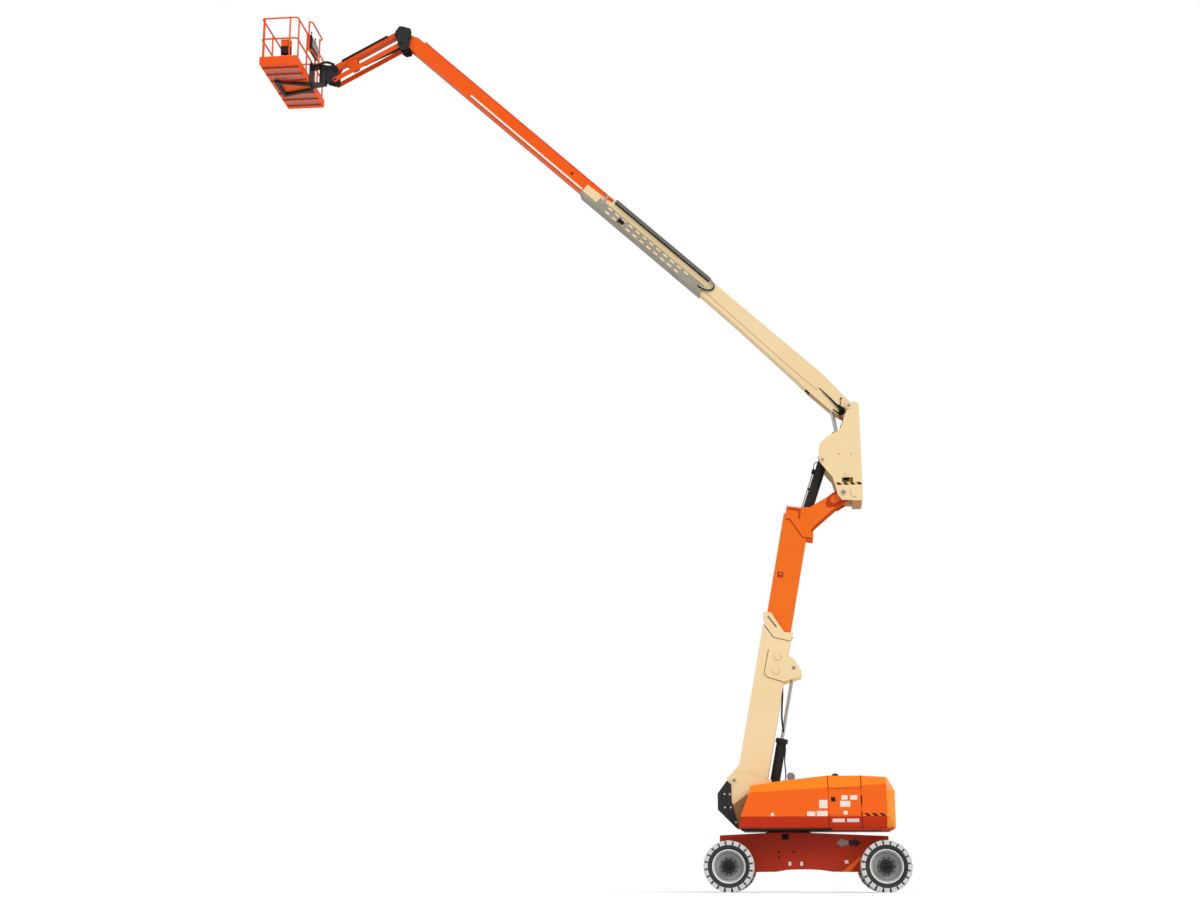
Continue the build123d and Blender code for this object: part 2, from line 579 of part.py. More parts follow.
# Tower base: a box tube with a foot that swings on the pivot pin, wear pads at its mouth,
# lug plates for the lift cylinder and a collar round the mouth
tower_mouth = TOWER_END + 240
tower_ear = [(-130, -250), (-130, 40), (-60, 120), (60, 120), (330, TOWER_TOP), (330, -250)]
tower_lug = [
    (2739, -250), (2720, -516), (2682, -681), (2610, -810), (2406, -987), (2314, -990), (2138, -665),
    (2181, -316),
    (2235, -242),
]
tower_collar = [
    (TOWER_END + 242, -74), (TOWER_END + 483, 6), (TOWER_END + 511, -163), (TOWER_END + 155, -500),
    (TOWER_END + 167, -695), (TOWER_END - 2, -643), (TOWER_END + 15, -311),
]
tower_bosses = [(2614, -455), (2327, -467)]
with BuildPart() as tower_base:
    slab([(TOWER_FOOT, TOWER_TOP), (tower_mouth, TOWER_TOP), (TOWER_END, TOWER_UNDER),
          (TOWER_FOOT, TOWER_UNDER)],
         -TOWER_HALF, TOWER_HALF, TOWER)
    slab([(TOWER_FOOT + TOWER_WALL, TOWER_TOP - TOWER_WALL),
          (tower_mouth - TOWER_PAD, TOWER_TOP - TOWER_WALL),
          (TOWER_END - TOWER_PAD, TOWER_UNDER + TOWER_WALL),
          (TOWER_FOOT + TOWER_WALL, TOWER_UNDER + TOWER_WALL)],
         TOWER_WALL - TOWER_HALF, TOWER_HALF - TOWER_WALL, TOWER, mode=Mode.SUBTRACT)
    pass_half = TOWER_FLY_HALF + RUN_GAP
    slab([(TOWER_FOOT + TOWER_WALL, TOWER_FLY_TOP + RUN_GAP),
          (tower_mouth + 400, TOWER_FLY_TOP + RUN_GAP),
          (tower_mouth + 400, TOWER_FLY_UNDER - RUN_GAP),
          (TOWER_FOOT + TOWER_WALL, TOWER_FLY_UNDER - RUN_GAP)],
         -pass_half, pass_half, TOWER, mode=Mode.SUBTRACT)
    cheeks(tower_ear, TOWER_HALF - 25, TOWER_HALF, TOWER)
    cheeks(tower_lug, TOWER_HALF, TOWER_HALF + LUG_THICK, TOWER)
    cheeks(tower_collar, TOWER_HALF - TOWER_WALL, TOWER_HALF + 15, TOWER)
    for boss in tower_bosses:
        stub_pins(boss, 65, TOWER_HALF + LUG_THICK, TOWER_HALF + LUG_THICK + 15, TOWER)
    stub_pins(in_frame(TOWER_EYE, TOWER), 45, TOWER_CYL["eye_half"] + 10, TOWER_HALF, TOWER)
    stub_pins((0, 0), 85, TOWER_HALF, SUPPORT_IN - RUN_GAP, TOWER)
    pin((0, 0), TOWER_PIN_R, -SUPPORT_IN - SUPPORT_THICK - 5, SUPPORT_IN + SUPPORT_THICK + 5, TOWER)
finish(tower_base, "tower_base")

# Tower fly: the sliding tube, with knuckle plates that carry the upright
knuckle_outline = [
    (129, 7844), (425, 7799), (616, 7807), (1245, 8172), (1390, 8005), (726, 7439), (602, 7308),
    (674, 7271), (657, 7125),
    (433, 7166), (182, 7561), (87, 7574),
]
with BuildPart() as tower_fly:
    slab([(TOWER_FLY_REAR, TOWER_FLY_TOP), (TOWER_FLY_END + 300, TOWER_FLY_TOP),
          (TOWER_FLY_END, TOWER_FLY_UNDER),
          (TOWER_FLY_REAR, TOWER_FLY_UNDER)], -TOWER_FLY_HALF, TOWER_FLY_HALF, TOWER)
    cheeks(knuckle_outline, TOWER_FLY_HALF - PLATE, TOWER_FLY_HALF)
    stub_pins(UPRIGHT_PIVOT, 110, TOWER_FLY_HALF - PLATE, TOWER_FLY_HALF)
    slab([(TOWER_FLY_REAR - 1, TOWER_FLY_TOP - TOWER_FLY_WALL),
          (TOWER_FLY_END + 900, TOWER_FLY_TOP - TOWER_FLY_WALL),
          (TOWER_FLY_END + 900, TOWER_FLY_UNDER + TOWER_FLY_WALL),
          (TOWER_FLY_REAR - 1, TOWER_FLY_UNDER + TOWER_FLY_WALL)],
         PLATE - TOWER_FLY_HALF, TOWER_FLY_HALF - PLATE, TOWER, mode=Mode.SUBTRACT)
    slab([(TOWER_FLY_REAR - 1, TOWER_FLY_TOP - TOWER_FLY_WALL), (4900, TOWER_FLY_TOP - TOWER_FLY_WALL),
          (4900, TOWER_FLY_UNDER + TOWER_FLY_WALL),
          (TOWER_FLY_REAR - 1, TOWER_FLY_UNDER + TOWER_FLY_WALL)],
         TOWER_FLY_WALL - TOWER_FLY_HALF, TOWER_FLY_HALF - TOWER_FLY_WALL, TOWER, mode=Mode.SUBTRACT)
    stub_pins(LEVEL_EYE, 40, LEVEL_CYL["eye_half"] + 10, TOWER_FLY_HALF)
    stub_pins(UPRIGHT_PIVOT, 85, TOWER_FLY_HALF - PLATE, UPRIGHT_IN - RUN_GAP)
    pin(UPRIGHT_PIVOT, UPRIGHT_PIN_R, -UPRIGHT_IN - UPRIGHT_PLATE - 5, UPRIGHT_IN + UPRIGHT_PLATE + 5)
finish(tower_fly, "tower_fly")

# Upright: two cheek plates with a spine, a foot box and a cross tube
upright_outline = [
    (1666, 10022), (1526, 10022), (1375, 9691), (1304, 9480), (1237, 9415), (990, 9276), (848, 9135),
    (825, 8991),
    (837, 8758), (969, 8583), (1095, 8428), (1162, 8198), (1195, 8044), (1282, 7929), (1714, 7908),
    (1694, 9993),
]
with BuildPart() as upright:
    cheeks(upright_outline, UPRIGHT_IN, UPRIGHT_IN + UPRIGHT_PLATE)
    block((1289, 1525), (-500, 500), (8302, 8404), mode=Mode.SUBTRACT)
    for place, radius in ((UPRIGHT_PIVOT, UPRIGHT_PIN_R), (LEVEL_PIN, 45), (LIFT_PIN, 40),
                          (BOOM_PIVOT, BOOM_PIN_R)):
        pin(place, radius + PIN_GAP, -500, 500, mode=Mode.SUBTRACT)
    block((1672, 1692), (-UPRIGHT_IN, UPRIGHT_IN), (7940, 9650))
    block((1499, 1691), (-UPRIGHT_IN, UPRIGHT_IN), (7858, 7947))
    pin((1000, 9180), 45, -UPRIGHT_IN, UPRIGHT_IN)
finish(upright, "upright")

# Main boom base: a box tube that deepens to its root, with collars and wear pads at its mouth
root_outline = [
    (-150, -100), (-130, 60), (70, 115), (900, BOOM_TOP), (ROOT_END, BOOM_TOP), (ROOT_END, -263),
    (854, -293), (231, -292),
    (0, -248),
]
tube_under = [(BOOM_END, BOOM_UNDER), (4000, BOOM_UNDER), (2860, -200), (ROOT_END, -263), (900, -292)]
with BuildPart() as main_boom_base:
    slab([(900, BOOM_TOP), (BOOM_END, BOOM_TOP), *tube_under], -BOOM_HALF, BOOM_HALF, BOOM)
    for collar_u in (BOOM_END - 440, BOOM_END - 40):
        slab([(collar_u, BOOM_TOP + 14), (collar_u + 40, BOOM_TOP + 14), (collar_u + 40, BOOM_UNDER - 14),
              (collar_u, BOOM_UNDER - 14)], -BOOM_HALF, BOOM_HALF, BOOM)
    inner_half = BOOM_HALF - BOOM_WALL
    slab([(899, BOOM_TOP - BOOM_WALL), (BOOM_END - BOOM_PAD, BOOM_TOP - BOOM_WALL),
          (BOOM_END - BOOM_PAD, BOOM_UNDER + BOOM_WALL),
          *((u, v + BOOM_WALL) for u, v in tube_under[1:-1]),
          (899, -284)], -inner_half, inner_half, BOOM, mode=Mode.SUBTRACT)
    slab([(899, FLY_TOP + RUN_GAP), (BOOM_END + 1, FLY_TOP + RUN_GAP), (BOOM_END + 1, -FLY_TOP - RUN_GAP),
          (899, -FLY_TOP - RUN_GAP)], -FLY_HALF - RUN_GAP, FLY_HALF + RUN_GAP, BOOM, mode=Mode.SUBTRACT)
    cheeks(root_outline, BOOM_HALF - PLATE, BOOM_HALF, BOOM)
    slab([(-130, 60), (70, 115), (901, BOOM_TOP), (901, BOOM_TOP - BOOM_WALL), (72, 107), (-125, 52)],
         PLATE - BOOM_HALF, BOOM_HALF - PLATE, BOOM)
    stub_pins((270, -230), 34, LIFT_CYL["eye_half"] + 10, BOOM_HALF - PLATE, BOOM)
    stub_pins((0, 0), 85, BOOM_HALF, UPRIGHT_IN - RUN_GAP, BOOM)
    pin((0, 0), BOOM_PIN_R, -UPRIGHT_IN - UPRIGHT_PLATE - 5, UPRIGHT_IN + UPRIGHT_PLATE + 5, BOOM)
finish(main_boom_base, "main_boom_base")

# Cable tray and link track along the boom's right side
tray_out = -BOOM_HALF - 35
with BuildPart() as cable_tray:
    slab([(4100, 0), (BOOM_END, 0), (BOOM_END, -200), (4100, -200)], tray_out, -BOOM_HALF - RUN_GAP, BOOM)
    slab([(4099, -12), (BOOM_END + 1, -12), (BOOM_END + 1, -188), (4099, -188)], tray_out + 4,
         -BOOM_HALF - 4, BOOM,
         mode=Mode.SUBTRACT)
finish(cable_tray, "cable_tray")

track_pitch = 62
track_links = 45
with BuildPart() as link_track:
    track_end = 4110 + track_pitch * track_links
    slab([(4110, 158), (track_end, 158), (track_end, 212), (4110, 212)], -BOOM_HALF - 50,
         -BOOM_HALF - RUN_GAP, BOOM)
    for link in range(track_links):
        start = 4110 + track_pitch * link
        slab([(start, 150), (start + track_pitch - 12, 150), (start + track_pitch - 12, 220),
              (start, 220)],
             -BOOM_HALF - 60, -BOOM_HALF - 50, BOOM)
finish(link_track, "link_track")

# Main boom fly: the sliding tube, with nose plates for the jib's head
nose_outline = [(12900, 140), (13100, 150), (13285, 85), (13315, 13), (13285, -60), (13100, -140),
                (12900, -140)]
with BuildPart() as main_boom_fly:
    slab([(FLY_REAR, FLY_TOP), (FLY_END, FLY_TOP), (FLY_END, -FLY_TOP), (FLY_REAR, -FLY_TOP)], -FLY_HALF,
         FLY_HALF, BOOM)
    inner_v = FLY_TOP - FLY_WALL
    inner_y = FLY_HALF - FLY_WALL
    slab([(FLY_REAR - 1, inner_v), (FLY_END + 1, inner_v), (FLY_END + 1, -inner_v),
          (FLY_REAR - 1, -inner_v)],
         -inner_y, inner_y, BOOM, mode=Mode.SUBTRACT)
    slab([(FLY_END - 170, 0), (FLY_END + 1, 0), (FLY_END + 1, -FLY_TOP - 1),
          (FLY_END - 170, -FLY_TOP - 1)],
         -inner_y, inner_y, BOOM, mode=Mode.SUBTRACT)
    cheeks(nose_outline, FLY_HALF - NOSE_PLATE, FLY_HALF, BOOM)
    pin((NOSE_PIVOT_U, NOSE_PIVOT_V), NOSE_PIN_R + PIN_GAP, -500, 500, BOOM, mode=Mode.SUBTRACT)
finish(main_boom_fly, "main_boom_fly")

with BuildPart() as push_bar:
    bar_low = BOOM_TOP + 30
    bar_high = bar_low + 40
    bar_end = FLY_END - 150
    slab([(PUSH_BAR_REAR, bar_low), (bar_end, bar_low), (bar_end, bar_high), (PUSH_BAR_REAR, bar_high)],
         -30, 30, BOOM)
    slab([(bar_end - 120, FLY_TOP), (bar_end, FLY_TOP), (bar_end, bar_high), (bar_end - 120, bar_high)],
         -70, 70, BOOM)
finish(push_bar, "push_bar")

# Jib head: cheek plates that hang on the boom's nose and carry the arm and links
NOSE_PIVOT = in_side_view((NOSE_PIVOT_U, NOSE_PIVOT_V), BOOM)
head_outline = [
    (-8548, 19130), (-8530, 19212), (-8480, 19268), (-8405, 19292), (-8325, 19272), (-8165, 19120),
    (-8150, 18960), (-8172, 18899), (-8285, 18765), (-8350, 18752), (-8420, 18770), (-8455, 18830),
    (-8490, 18990), (-8535, 19060),
]
with BuildPart() as jib_head:
    cheeks(head_outline, CHEEK_IN, CHEEK_OUT)
    pin(NOSE_PIVOT, NOSE_PIN_R, -FLY_HALF - 5, FLY_HALF + 5)
    pin(JIB_LINK_PIVOT, JIB_PIN_R, -LINK_OUT - 5, LINK_OUT + 5)
    pin(JIB_PIVOT, JIB_PIN_R + PIN_GAP, -500, 500, mode=Mode.SUBTRACT)
finish(jib_head, "jib_head")

# Jib arm: a box tube above its pins, with ears at both ends and lug plates for its cylinder
arm_reach = 70
arm_end = JIB_LENGTH + arm_reach
with BuildPart() as jib_arm:
    slab([(-arm_reach, JIB_TOP), (arm_end, JIB_TOP), (arm_end, JIB_UNDER), (-arm_reach, JIB_UNDER)],
         -JIB_HALF, JIB_HALF, JIB)
    inner_top = JIB_TOP - JIB_WALL
    inner_under = JIB_UNDER + JIB_WALL
    slab([(-arm_reach - 1, inner_top), (arm_end + 1, inner_top), (arm_end + 1, inner_under),
          (-arm_reach - 1, inner_under)],
         JIB_WALL - JIB_HALF, JIB_HALF - JIB_WALL, JIB, mode=Mode.SUBTRACT)
    ear_in = JIB_HALF - 15
    cheeks([(1150, inner_under), (1230, -200), (1370, -200), (1450, inner_under)], ear_in, JIB_HALF, JIB)
    for place in (0, JIB_LENGTH):
        inward = 1 if place == 0 else -1
        cheeks([(place - inward * arm_reach, inner_under), (place - inward * 50, -50),
                (place + inward * 50, -50), (place + inward * 160, inner_under)], ear_in, JIB_HALF, JIB)
        stub_pins((place, 0), JIB_PIN_R, ear_in - 15, CHEEK_OUT + 4, JIB)
    stub_pins((1300, -150), 24, JIB_CYL["eye_half"] + 10, JIB_HALF, JIB)
finish(jib_arm, "jib_arm")

with BuildPart() as jib_links:
    link_u, link_v = in_frame(JIB_LINK_PIVOT, JIB)
    half_link = LINK_DEPTH / 2
    cheeks([(link_u, link_v + half_link), (link_u + JIB_LENGTH, link_v + half_link),
            (link_u + JIB_LENGTH, link_v - half_link), (link_u, link_v - half_link)], LINK_IN, LINK_OUT,
            JIB)
    for end_u in (link_u, link_u + JIB_LENGTH):
        stub_pins((end_u, link_v), half_link, LINK_IN, LINK_OUT, JIB)
        pin((end_u, link_v), JIB_PIN_R + PIN_GAP, -500, 500, JIB, mode=Mode.SUBTRACT)
finish(jib_links, "jib_links")

# Jib end: cheek plates on the arm's and links' outer pins, carrying the swivel drum
JIB_TIP = in_side_view((JIB_LENGTH, 0), JIB)
LINK_TIP = (JIB_TIP[0] + JIB_LINK_DOWN[0], JIB_TIP[1] + JIB_LINK_DOWN[1])
swivel_back = SWIVEL_X + SWIVEL_R + 10
end_outline = [
    (swivel_back, 18430), (swivel_back, 18045), (LINK_TIP[0] - 60, LINK_TIP[1] - 55),
    (LINK_TIP[0] + 45, LINK_TIP[1] - 50), (LINK_TIP[0] + 62, LINK_TIP[1]),
    (JIB_TIP[0] + 70, JIB_TIP[1] + 20), (JIB_TIP[0] + 45, JIB_TIP[1] + 65), (JIB_TIP[0] - 10, 18420),
]
swivel_mid = (SWIVEL_LOW + SWIVEL_HIGH) / 2
with BuildPart() as jib_end:
    cheeks(end_outline, CHEEK_IN, CHEEK_OUT)
    block((swivel_back - 5, swivel_back + 25), (-CHEEK_OUT, CHEEK_OUT), (18045, 18430))
    block((SWIVEL_X, swivel_back), (-80, 80), (SWIVEL_LOW + 40, SWIVEL_HIGH - 40))
    with Locations((SWIVEL_X, 0, swivel_mid)):
        Cylinder(SWIVEL_R, SWIVEL_HIGH - SWIVEL_LOW)
        Cylinder(SWIVEL_PIN_R, SWIVEL_HIGH - SWIVEL_LOW + 64)
    stub_pins(LINK_TIP, JIB_PIN_R, CHEEK_IN, LINK_OUT + 5)
    for sign in (1, -1):
        pin(JIB_TIP, JIB_PIN_R + PIN_GAP, min(sign * 90, sign * 130), max(sign * 90, sign * 130),
            mode=Mode.SUBTRACT)
finish(jib_end, "jib_end")

# Platform support: swivel plates, a back plate and two arms under the floor
support_plate = 25
support_low = FLOOR_LOW - 70
with BuildPart() as platform_support:
    for low in (SWIVEL_HIGH + RUN_GAP, SWIVEL_LOW - RUN_GAP - support_plate):
        with BuildSketch(Plane.XY.offset(low)) as swivel_plate:
            with Locations((SWIVEL_X, 0)):
                Circle(SWIVEL_R)
            with BuildLine():
                Polyline((SWIVEL_X, -SWIVEL_R), (SWIVEL_X, SWIVEL_R), (PLATFORM_FRONT + 10, 160),
                         (PLATFORM_FRONT + 10, -160), close=True)
            make_face()
            with Locations((SWIVEL_X, 0)):
                Circle(SWIVEL_PIN_R + PIN_GAP, mode=Mode.SUBTRACT)
        extrude(swivel_plate.sketch, amount=support_plate)
    block((PLATFORM_FRONT, PLATFORM_FRONT + PLATE), (-180, 180),
          (support_low, SWIVEL_HIGH + support_plate))
    for sign in (1, -1):
        with BuildSketch(Plane.XY.offset(support_low)) as arm_plan:
            with BuildLine():
                Polyline((PLATFORM_FRONT + PLATE, sign * 90), (PLATFORM_FRONT + PLATE, sign * 170),
                         (-11170, sign * 370),
                         (-11170, sign * 290), close=True)
            make_face()
        extrude(arm_plan.sketch, amount=FLOOR_LOW - support_low)
    block((-11250, -11170), (-390, 390), (support_low, FLOOR_LOW))
finish(platform_support, "platform_support")

# Platform floor: a pan with toe boards
toe = 6
with BuildPart() as platform_floor:
    block((PLATFORM_REAR, PLATFORM_FRONT), (-PLATFORM_HALF, PLATFORM_HALF), (FLOOR_LOW, TOE_HIGH))
    block((PLATFORM_REAR + toe, PLATFORM_FRONT - toe), (toe - PLATFORM_HALF, PLATFORM_HALF - toe),
          (FLOOR_LOW + toe, TOE_HIGH + 1), mode=Mode.SUBTRACT)
finish(platform_floor, "platform_floor")

# Guard rails: a frame of tubes on each edge, posts standing in the pan
rail_in = toe + RAIL_R + RUN_GAP
rear_rail_x = PLATFORM_REAR + rail_in
front_rail_x = PLATFORM_FRONT - rail_in
rail_y = PLATFORM_HALF - rail_in
post_foot = FLOOR_LOW + toe
RAIL_LEVELS = (MID_RAIL_Z, TOP_RAIL_Z - RAIL_R)
for name, rail_x in (("rail_rear", rear_rail_x), ("rail_front", front_rail_x)):
    with BuildPart() as rail:
        for level in RAIL_LEVELS:
            bar((rail_x, -rail_y - RAIL_R, level), (rail_x, rail_y + RAIL_R, level), RAIL_R)
        for post_y in (-1050, -350, 350, 1050):
            bar((rail_x, post_y, post_foot), (rail_x, post_y, RAIL_LEVELS[-1]), RAIL_R)
    finish(rail, name)
for name, side_y in (("rail_left", rail_y), ("rail_right", -rail_y)):
    with BuildPart() as rail:
        for level in RAIL_LEVELS:
            bar((rear_rail_x + RAIL_R + RUN_GAP, side_y, level),
                (front_rail_x - RAIL_R - RUN_GAP, side_y, level), RAIL_R)
        for post_x in (-11285, -10700):
            bar((post_x, side_y, post_foot), (post_x, side_y, RAIL_LEVELS[-1]), RAIL_R)
    finish(rail, name)

# Control console on the boom side, inside a raised tube guard
console_left = front_rail_x + RAIL_R + RUN_GAP
guard_x = PLATFORM_FRONT + 100 - RAIL_R
with BuildPart() as console:
    console_high = TOP_RAIL_Z + 10
    console_low = console_high - CONSOLE_HEIGHT
    console_face = console_left + 62
    slab([(console_left, console_low), (console_left + 40, console_low), (console_face, console_low + 40),
          (console_face, console_high - 70), (console_left + 30, console_high),
          (console_left, console_high)],
         CONSOLE_SHIFT - CONSOLE_HALF, CONSOLE_SHIFT + CONSOLE_HALF)
finish(console, "console")

guard_middle = 95
guard_foot = TOP_RAIL_Z - 440
guard_top = CONSOLE_TOP_Z - RAIL_R
with BuildPart() as console_guard:
    for guard_y in (guard_middle - GUARD_SPAN / 2, guard_middle + GUARD_SPAN / 2):
        bar((guard_x, guard_y, guard_foot), (guard_x, guard_y, guard_top), RAIL_R)
        for level in (guard_foot + RAIL_R, TOP_RAIL_Z - RAIL_R):
            bar((guard_x, guard_y, level), (console_left, guard_y, level), RAIL_R - 3)
    half_guard = GUARD_SPAN / 2 + RAIL_R
    bar((guard_x, guard_middle - half_guard, guard_top), (guard_x, guard_middle + half_guard, guard_top),
        RAIL_R)
finish(console_guard, "console_guard")

with BuildPart() as storage_box:
    block((-10900, -10690), (-rail_y + RAIL_R + RUN_GAP, -rail_y + 165),
          (TOE_HIGH + 100, MID_RAIL_Z - RAIL_R - 1))
finish(storage_box, "storage_box")
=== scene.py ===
import json
import math

import bmesh
import bpy
from mathutils import Matrix, Vector


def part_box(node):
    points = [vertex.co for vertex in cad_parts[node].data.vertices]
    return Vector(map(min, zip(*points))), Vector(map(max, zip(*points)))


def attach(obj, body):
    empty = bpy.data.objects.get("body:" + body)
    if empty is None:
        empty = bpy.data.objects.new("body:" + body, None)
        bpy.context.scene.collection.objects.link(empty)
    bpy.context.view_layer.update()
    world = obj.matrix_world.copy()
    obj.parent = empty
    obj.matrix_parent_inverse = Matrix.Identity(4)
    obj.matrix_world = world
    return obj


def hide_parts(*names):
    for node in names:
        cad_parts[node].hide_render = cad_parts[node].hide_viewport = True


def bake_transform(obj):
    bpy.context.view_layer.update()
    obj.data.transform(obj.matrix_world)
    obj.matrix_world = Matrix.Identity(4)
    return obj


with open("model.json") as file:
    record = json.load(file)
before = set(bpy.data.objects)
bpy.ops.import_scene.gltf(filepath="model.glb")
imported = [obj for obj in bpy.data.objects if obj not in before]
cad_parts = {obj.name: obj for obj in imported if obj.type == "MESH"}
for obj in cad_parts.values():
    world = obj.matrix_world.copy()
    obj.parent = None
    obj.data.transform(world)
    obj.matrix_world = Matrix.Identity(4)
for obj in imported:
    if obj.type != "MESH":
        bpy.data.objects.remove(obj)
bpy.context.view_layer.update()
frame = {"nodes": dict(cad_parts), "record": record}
scene = bpy.context.scene

# The studio: a pale floor that keeps the machine's shadow, a white surround and two wide, soft lamps.
# The camera stands low and far off on the machine's right side, as the photograph's did.
FLOOR_HALF = 90.0
FLOOR_COLOUR = (0.92, 0.92, 0.92)
FLOOR_GLOW = 0.22
CAMERA_PLACE = (0.150, -37.0, 0.2)
CAMERA_LENS = 53.55
CAMERA_PITCH = 13.605
CAMERA_YAW = 6.1226


def set_inputs(node, inputs):
    """Set a shader node's inputs to values, or join them to other nodes' outputs."""
    for name, value in inputs.items():
        if isinstance(value, bpy.types.NodeSocket):
            node.id_data.links.new(value, node.inputs[name])
        else:
            node.inputs[name].default_value = value
    return node


def add_node(tree, kind, inputs=None, operation=None):
    """A new shader node with its inputs set."""
    node = tree.nodes.new(f"ShaderNode{kind}")
    if operation:
        node.operation = operation
    return set_inputs(node, inputs or {})


floor_form = bmesh.new()
bmesh.ops.create_grid(floor_form, x_segments=1, y_segments=1, size=FLOOR_HALF)
floor_mesh = bpy.data.meshes.new("floor")
floor_form.to_mesh(floor_mesh)
floor_form.free()
floor = bpy.data.objects.new("floor", floor_mesh)
scene.collection.objects.link(floor)
floor_paint = bpy.data.materials.new("floor_paint")
floor_paint.use_nodes = True
floor_tree = floor_paint.node_tree
floor_seen = add_node(floor_tree, "LightPath").outputs["Is Camera Ray"]
floor_glow = add_node(floor_tree, "Math", {0: floor_seen, 1: FLOOR_GLOW}, "MULTIPLY")
set_inputs(floor_tree.nodes["Principled BSDF"], {
    "Base Color": (*FLOOR_COLOUR, 1), "Roughness": 0.9, "Specular IOR Level": 0.0,
    "Emission Color": (1, 1, 1, 1), "Emission Strength": floor_glow.outputs["Value"],
})
floor_mesh.materials.append(floor_paint)

surround = bpy.data.worlds.new("surround")
surround.use_nodes = True
scene.world = surround
sky_tree = surround.node_tree
sky = set_inputs(sky_tree.nodes["Background"], {"Color": (1, 1, 1, 1), "Strength": 0.5})
seen_sky = add_node(sky_tree, "Background", {"Color": (1, 1, 1, 1), "Strength": 1.0})
sky_seen = add_node(sky_tree, "LightPath").outputs["Is Camera Ray"]
pick_sky = add_node(sky_tree, "MixShader", {
    "Fac": sky_seen, 1: sky.outputs["Background"], 2: seen_sky.outputs["Background"],
})
set_inputs(sky_tree.nodes["World Output"], {"Surface": pick_sky.outputs["Shader"]})

for lamp_name, strength, spread, turn in (
    ("key_lamp", 1.85, 40, (52, 0, 48)),
    ("fill_lamp", 0.35, 60, (62, 0, -42)),
):
    lamp_data = bpy.data.lights.new(lamp_name, "SUN")
    lamp_data.energy = strength
    lamp_data.angle = math.radians(spread)
    lamp = bpy.data.objects.new(lamp_name, lamp_data)
    lamp.rotation_euler = [math.radians(angle) for angle in turn]
    scene.collection.objects.link(lamp)

camera_data = bpy.data.cameras.new("camera")
camera_data.lens = CAMERA_LENS
camera_data.sensor_width = 36
camera_data.clip_end = 400
camera = bpy.data.objects.new("camera", camera_data)
camera.location = CAMERA_PLACE
camera.rotation_euler = (math.radians(90 + CAMERA_PITCH), 0, math.radians(CAMERA_YAW))
scene.collection.objects.link(camera)
scene.camera = camera
scene.view_settings.view_transform = "Standard"


# Tyres: moulded rubber on four equal wheels, dark on the walls and the tread floor, and pale on the lugs.
# The pallor follows the distance from each wheel's own axle.
def linear(hex_colour):
    """A written sRGB colour as the shader's linear one."""
    values = [int(hex_colour[i:i + 2], 16) / 255 for i in (1, 3, 5)]
    return [v / 12.92 if v <= 0.04045 else ((v + 0.055) / 1.055) ** 2.4 for v in values]


def finish(name, colour, roughness, metallic=0.0):
    """A plain finish; its colour, roughness and metal are set on the shader itself."""
    material = bpy.data.materials.new(name)
    material.use_nodes = True
    set_inputs(material.node_tree.nodes["Principled BSDF"], {
        "Base Color": (*linear(colour), 1), "Roughness": roughness, "Metallic": metallic,
        "Specular IOR Level": 0.5 if metallic else 0.15,
    })
    return material


def paint_by(tree, source, stops):
    """Colour a finish by a value; stops are (value, colour)."""
    ramp = add_node(tree, "ValToRGB", {"Fac": source})
    marks = ramp.color_ramp.elements
    while len(marks) < len(stops):
        marks.new(0.5)
    for mark, (position, colour) in zip(marks, stops):
        mark.position = position
        mark.color = (*linear(colour), 1)
    set_inputs(tree.nodes["Principled BSDF"], {"Base Color": ramp.outputs["Color"]})


def mottle(material, colour, other, size=1.5, amount=0.5):
    """Break a finish up into faint patches of two near colours."""
    tree = material.node_tree
    place = add_node(tree, "TexCoord").outputs["Object"]
    patches = add_node(tree, "TexNoise", {"Vector": place, "Scale": size, "Detail": 4})
    paint_by(tree, patches.outputs["Fac"], [(0.5 - amount / 2, colour), (0.5 + amount / 2, other)])
    return material


def banded(material, centre, scale, bands):
    """Colour a finish by the length of (place - centre) * scale; bands are (length, colour)."""
    tree = material.node_tree
    place = add_node(tree, "TexCoord").outputs["Object"]
    shift = [-c * s for c, s in zip(centre, scale)]
    move = add_node(tree, "Mapping", {"Vector": place, "Scale": scale, "Location": shift})
    length = add_node(tree, "VectorMath", {0: move.outputs["Vector"]}, "LENGTH")
    paint_by(tree, length.outputs["Value"], bands)


def dress(material, *nodes):
    """Give CAD nodes a finish."""
    for node in nodes:
        mesh = frame["nodes"][node].data
        mesh.materials.clear()
        mesh.materials.append(material)


WHEELS = [f"{axle}_{side}" for axle in ("rear", "front") for side in ("left", "right")]
WALL_DARK = "#3A3B38"
LUG_PALE = "#CBCCC9"
LUG_FOOT = 0.409
LUG_FACE = 0.1845
TREAD_FLOOR = 0.461


def wheel_centre(wheel):
    """The middle of a wheel's tyre."""
    low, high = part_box(f"tyre_{wheel}")
    return [(a + b) / 2 for a, b in zip(low, high)]


def pale_lugs(material, centre):
    """Pale where the lugs stand out of the tread or of the wall, dark everywhere else."""
    tree = material.node_tree
    place = add_node(tree, "TexCoord").outputs["Object"]
    move = add_node(tree, "VectorMath", {0: place, 1: centre}, "SUBTRACT")
    split = add_node(tree, "SeparateXYZ", {"Vector": move.outputs["Vector"]}).outputs
    flat = add_node(tree, "CombineXYZ", {"X": split["X"], "Y": split["Z"]})
    radius = add_node(tree, "VectorMath", {0: flat.outputs["Vector"]}, "LENGTH").outputs["Value"]
    width = add_node(tree, "Math", {0: split["Y"]}, "ABSOLUTE").outputs["Value"]
    steps = []
    for source, level in ((radius, LUG_FOOT), (width, LUG_FACE), (radius, TREAD_FLOOR)):
        step = add_node(tree, "MapRange", {
            "Value": source, "From Min": level - 0.002, "From Max": level + 0.002,
        })
        steps.append(step.outputs["Result"])
    side = add_node(tree, "Math", {0: steps[0], 1: steps[1]}, "MULTIPLY")
    pale = add_node(tree, "Math", {0: side.outputs["Value"], 1: steps[2]}, "MAXIMUM")
    paint_by(tree, pale.outputs["Value"], [(0, WALL_DARK), (1, LUG_PALE)])


